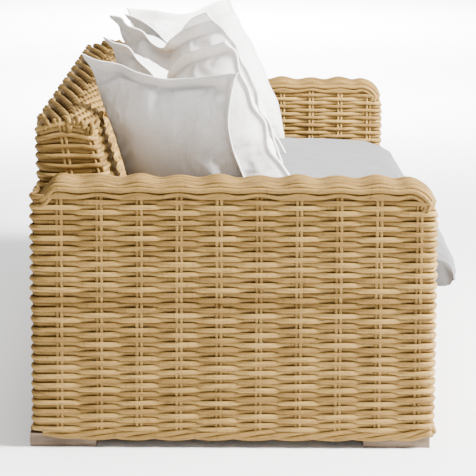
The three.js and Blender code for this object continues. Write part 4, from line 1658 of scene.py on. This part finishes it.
@dataclass(frozen=True)
class Pillow:
    """A flanged scatter cushion: a sheet between four corners, swollen on both faces inside its flange."""

    place: PillowPlace
    steps: int = 76
    rim: float = 0.0022
    pull: float = 0.028
    flutter: float = 0.0085
    flutter_length: float = 0.11
    nod: float = 0.018
    pucker: float = 0.0022
    pucker_length: float = 0.030
    fold: float = 0.0030
    fold_length: float = 0.085
    drape: tuple[float, float] = (2.6, 0.62)
    drape_length: float = 0.30
    edge_bias: float = 0.55

    def grid(self, bias: float) -> tuple[np.ndarray, np.ndarray]:
        """Lays out the face's points.

        Args:
            bias: How much closer the points stand near the edges, from 0 to 1.

        Returns:
            Shares of the height and of the way from the front edge to the rear edge.
        """
        even = np.linspace(0.0, 1.0, self.steps + 1)
        share = bias * (0.5 - 0.5 * np.cos(math.pi * even)) + (1 - bias) * even
        return np.meshgrid(share, share, indexing="ij")

    def sheet(self, across: np.ndarray, up: np.ndarray) -> tuple[np.ndarray, np.ndarray]:
        """Works out the middle sheet and its direction.

        The sheet is a straight blend of the four corners. Its front and rear edges move by their bows times
        a parabola, every edge is drawn in most at its middle, and the top is struck down by a bell curve.

        Args:
            across: 0 at the front edge, 1 at the rear edge.
            up: 0 at the foot, 1 at the top.

        Returns:
            The points and one unit normal.
        """
        place = self.place
        front_foot, rear_foot, front_top, rear_top = (
            np.array([x, REAR_Y - depth, height])
            for x, depth, height in (place.front_foot, place.rear_foot, place.front_top, place.rear_top))
        s = 0.5 + (across - 0.5) * (1 - 2 * self.pull * (4 * up * (1 - up)) ** 0.8)
        t = 0.5 + (up - 0.5) * (1 - 2 * self.pull * (4 * across * (1 - across)) ** 0.8)
        s, t = s[..., None], t[..., None]
        foot = front_foot * (1 - s) + rear_foot * s
        top = front_top * (1 - s) + rear_top * s
        normal = unit(np.cross(rear_foot - front_foot, front_top - front_foot))
        arc = 4 * t * (1 - t)
        forward = np.array([0.0, -1.0, 0.0])
        bow = forward * arc * (place.front_bow * (1 - s) ** 1.5 + place.rear_bow * s ** 1.5)
        bell = np.exp(-(((across - place.chop_place) / place.chop_width) ** 2)) * up ** 3
        struck = unit(top - foot) * (place.chop * bell)[..., None]
        return foot * (1 - t) + top * t + bow - struck, normal

    def face(self, side: float) -> np.ndarray:
        """Works out one face: the sheet plus its swell, seam pucker and folds.

        The swell rises from the flange's stitch line to the middle; the flange flutters with the sheet.

        Args:
            side: 1 or -1 for the two faces.

        Returns:
            Points as (up, across, 3).
        """
        up, across = self.grid(self.edge_bias)
        points, normal = self.sheet(across, up)
        place, number = self.place, self.place.number
        face_seed = number * 2 + int(side > 0)

        front, rear, foot, top = place.flanges
        in_across = np.clip((across - front) / (1 - front - rear), 0.0, 1.0)
        in_up = np.clip((up - foot) / (1 - foot - top), 0.0, 1.0)
        body = np.clip(16 * in_across * (1 - in_across) * in_up * (1 - in_up), 0.0, 1.0) ** 0.5
        loose = 1 - smoothstep(body, 0.0, 0.35)
        foot_hold = smoothstep(up, 0.0, 0.25)

        fold = place.fold * smoothstep(front - across, -0.02, front) * foot_hold
        curl = place.wrap * (np.clip(0.5 - across, 0.0, None) / 0.5) ** 2
        nod = -self.nod * smoothstep(up, 1 - 1.2 * top, 1.0)
        flutter = self.flutter * creases(points, FLUTTER_DRAWS + number, self.flutter_length, 10)
        wave = flutter * loose * foot_hold + fold + curl + nod

        beside = np.exp(-(((body - 0.30) / 0.25) ** 2))
        pucker = self.pucker * creases(points, PUCKER_DRAWS + number, self.pucker_length, 16) * beside
        stretched = np.stack([across * self.drape[0], up * self.drape[1], np.zeros_like(up)], -1)
        draped = 1.0 - np.abs(creases(stretched, DRAPE_DRAWS + face_seed, self.drape_length, 14))
        ridges = place.ridge * draped * (0.35 + 0.65 * smoothstep(0.75 - across, 0.0, 0.6))
        folds = self.fold * creases(points, FOLD_DRAWS + face_seed, self.fold_length)
        thick = self.rim + place.crown * body + (pucker + (folds + ridges) * body) * (body > 0.0)
        return points + normal * (side * thick + wave)[..., None]

    def surface(self) -> Surface:
        """Joins both faces around the rim into a closed skin."""
        size = self.steps + 1
        faces = np.stack([self.face(1.0), self.face(-1.0)])
        index = np.arange(size * size).reshape(size, size)
        a, b, c, d = index[:-1, :-1], index[:-1, 1:], index[1:, 1:], index[1:, :-1]
        near = np.stack([a, b, c, d], -1).reshape(-1, 4)
        far = np.stack([a, d, c, b], -1).reshape(-1, 4) + size * size
        ring = np.concatenate([index[0, :-1], index[:-1, -1], index[-1, :0:-1], index[:0:-1, 0]])
        after = np.roll(ring, -1)
        rim = np.stack([ring + size * size, after + size * size, after, ring], -1)
        quads = np.concatenate([near, far, rim])
        return Surface.plain(faces.reshape(-1, 3), quads, [])

    def held(self) -> np.ndarray:
        """Returns how firmly each point is held in the simulation: the flange and the foot fully."""
        up, across = self.grid(0.0)
        reach = np.maximum(np.abs(2 * across - 1), np.abs(2 * up - 1))
        firm = smoothstep(reach, 0.62, 0.88)
        return np.concatenate([firm.ravel(), firm.ravel()])

    def build(self, linen: bpy.types.Material) -> None:
        """Builds the cushion in place of the plain solid."""
        number = self.place.number
        piece = self.surface().build(f"scatter_cushion_cover_{number}")
        swell(piece, self.held(), pressure=2.5, looseness=0.030, cap=0.012)
        declare(piece, linen, f"scatter_cushion_{number}", f"pillow_{number}")


# Camera, lights and floor


@dataclass(frozen=True)
class Lamp:
    """A soft rectangular light that points at the sofa."""

    name: str
    position: tuple[float, float, float]
    size: float
    power: float
    aim: tuple[float, float, float] = (0.0, 0.0, 0.4)

    def place(self) -> None:
        """Makes the light."""
        lamp = bpy.data.lights.new(self.name, "AREA")
        lamp.energy = self.power
        lamp.size = self.size
        holder = bpy.data.objects.new(self.name, lamp)
        holder.location = self.position
        way = Vector(self.aim) - Vector(self.position)
        holder.rotation_euler = way.to_track_quat("-Z", "Y").to_euler()
        bpy.context.scene.collection.objects.link(holder)


@dataclass(frozen=True)
class Studio:
    """The camera, the lights and the pale floor."""

    position: tuple[float, float, float] = (-5.7878, 0.0174, 1.3820)
    pitch: float = 8.27
    roll: float = 0.29
    lens: float = 164.9
    shift: float = -0.2
    surroundings: float = 0.36

    def place_camera(self) -> None:
        """Makes the camera, which looks along the width at the near arm."""
        camera = bpy.data.objects.new("camera", bpy.data.cameras.new("camera"))
        camera.data.sensor_width = 36.0
        camera.data.lens = self.lens
        camera.data.shift_y = self.shift
        camera.data.clip_end = 60.0
        along_width = Matrix.Rotation(math.radians(-90.0), 4, "Z")
        down = Matrix.Rotation(math.radians(90.0 - self.pitch), 4, "X")
        roll = Matrix.Rotation(math.radians(self.roll), 4, "Z")
        camera.matrix_world = Matrix.Translation(self.position) @ along_width @ down @ roll
        bpy.context.scene.collection.objects.link(camera)
        bpy.context.scene.camera = camera

    def place_floor(self) -> None:
        """Makes the pale floor."""
        reach = 12.0
        corners = [(-reach, -reach, 0), (reach, -reach, 0), (reach, reach, 0), (-reach, reach, 0)]
        mesh = bpy.data.meshes.new("floor")
        mesh.from_pydata(corners, [], [(0, 1, 2, 3)])
        floor = bpy.data.objects.new("floor", mesh)
        bpy.context.scene.collection.objects.link(floor)
        material, _, shader = start_material("pale_floor")
        shader.inputs["Base Color"].default_value = (0.92, 0.92, 0.92, 1.0)
        shader.inputs["Roughness"].default_value = 0.8
        dress(floor, material)

    def place_lights(self) -> None:
        """Makes the soft lights and the pale surroundings."""
        for lamp in (
            Lamp("key", (-1.6, -5.2, 3.6), size=1.5, power=3300.0),
            Lamp("fill", (-5.5, -0.6, 1.6), size=3.0, power=55.0),
            Lamp("top", (0.4, 0.4, 5.0), size=3.5, power=330.0),
            Lamp("floor_middle", (5.0, 0.0, 3.0), size=3.0, power=1500.0, aim=(7.4, 0.0, 0.0)),
            Lamp("floor_far", (9.5, 0.0, 3.5), size=3.0, power=2600.0, aim=(12.0, 0.0, 0.0)),
        ):
            lamp.place()
        world = bpy.data.worlds.new("surroundings")
        world.use_nodes = True
        background = world.node_tree.nodes["Background"]
        background.inputs["Color"].default_value = (1.0, 1.0, 1.0, 1.0)
        background.inputs["Strength"].default_value = self.surroundings
        bpy.context.scene.world = world


def dress_frame(frame: dict, palette: Palette) -> None:
    """Gives every CAD node that stays in sight its own material."""
    foot, timber, zinc = FOOT.material(palette), TIMBER.material(palette), ZINC.material()
    for name, node in frame["nodes"].items():
        if name.startswith("foot_screw"):
            dress(node, zinc)
        elif name.startswith("foot"):
            dress(node, foot)
        else:
            dress(node, timber)


def main() -> None:
    """Builds the studio, the frame's finishes and each sub-assembly in order."""
    logging.basicConfig(level=logging.INFO, format="%(name)s: %(message)s")
    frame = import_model()
    studio = Studio()
    studio.place_camera()
    studio.place_floor()
    studio.place_lights()
    palette = Palette()
    dress_frame(frame, palette)
    # The rolled finish carries painted shade for the top-lit borders.
    cane, rolled = WOVEN.material(palette), SHADED_ROLLED_CANE.material(palette)
    for side in Side:
        Arm(side).build(cane, rolled)
    Back().build(cane, rolled)
    Apron().build(cane)
    Deck().build(cane)
    BaseBorder().build(rolled)
    BenchCushion().build(SEAT_CLOTH.material(palette))
    linen = LINEN.material(palette)
    for place in PILLOWS:
        Pillow(place).build(linen)


if __name__ == "__main__":
    main()
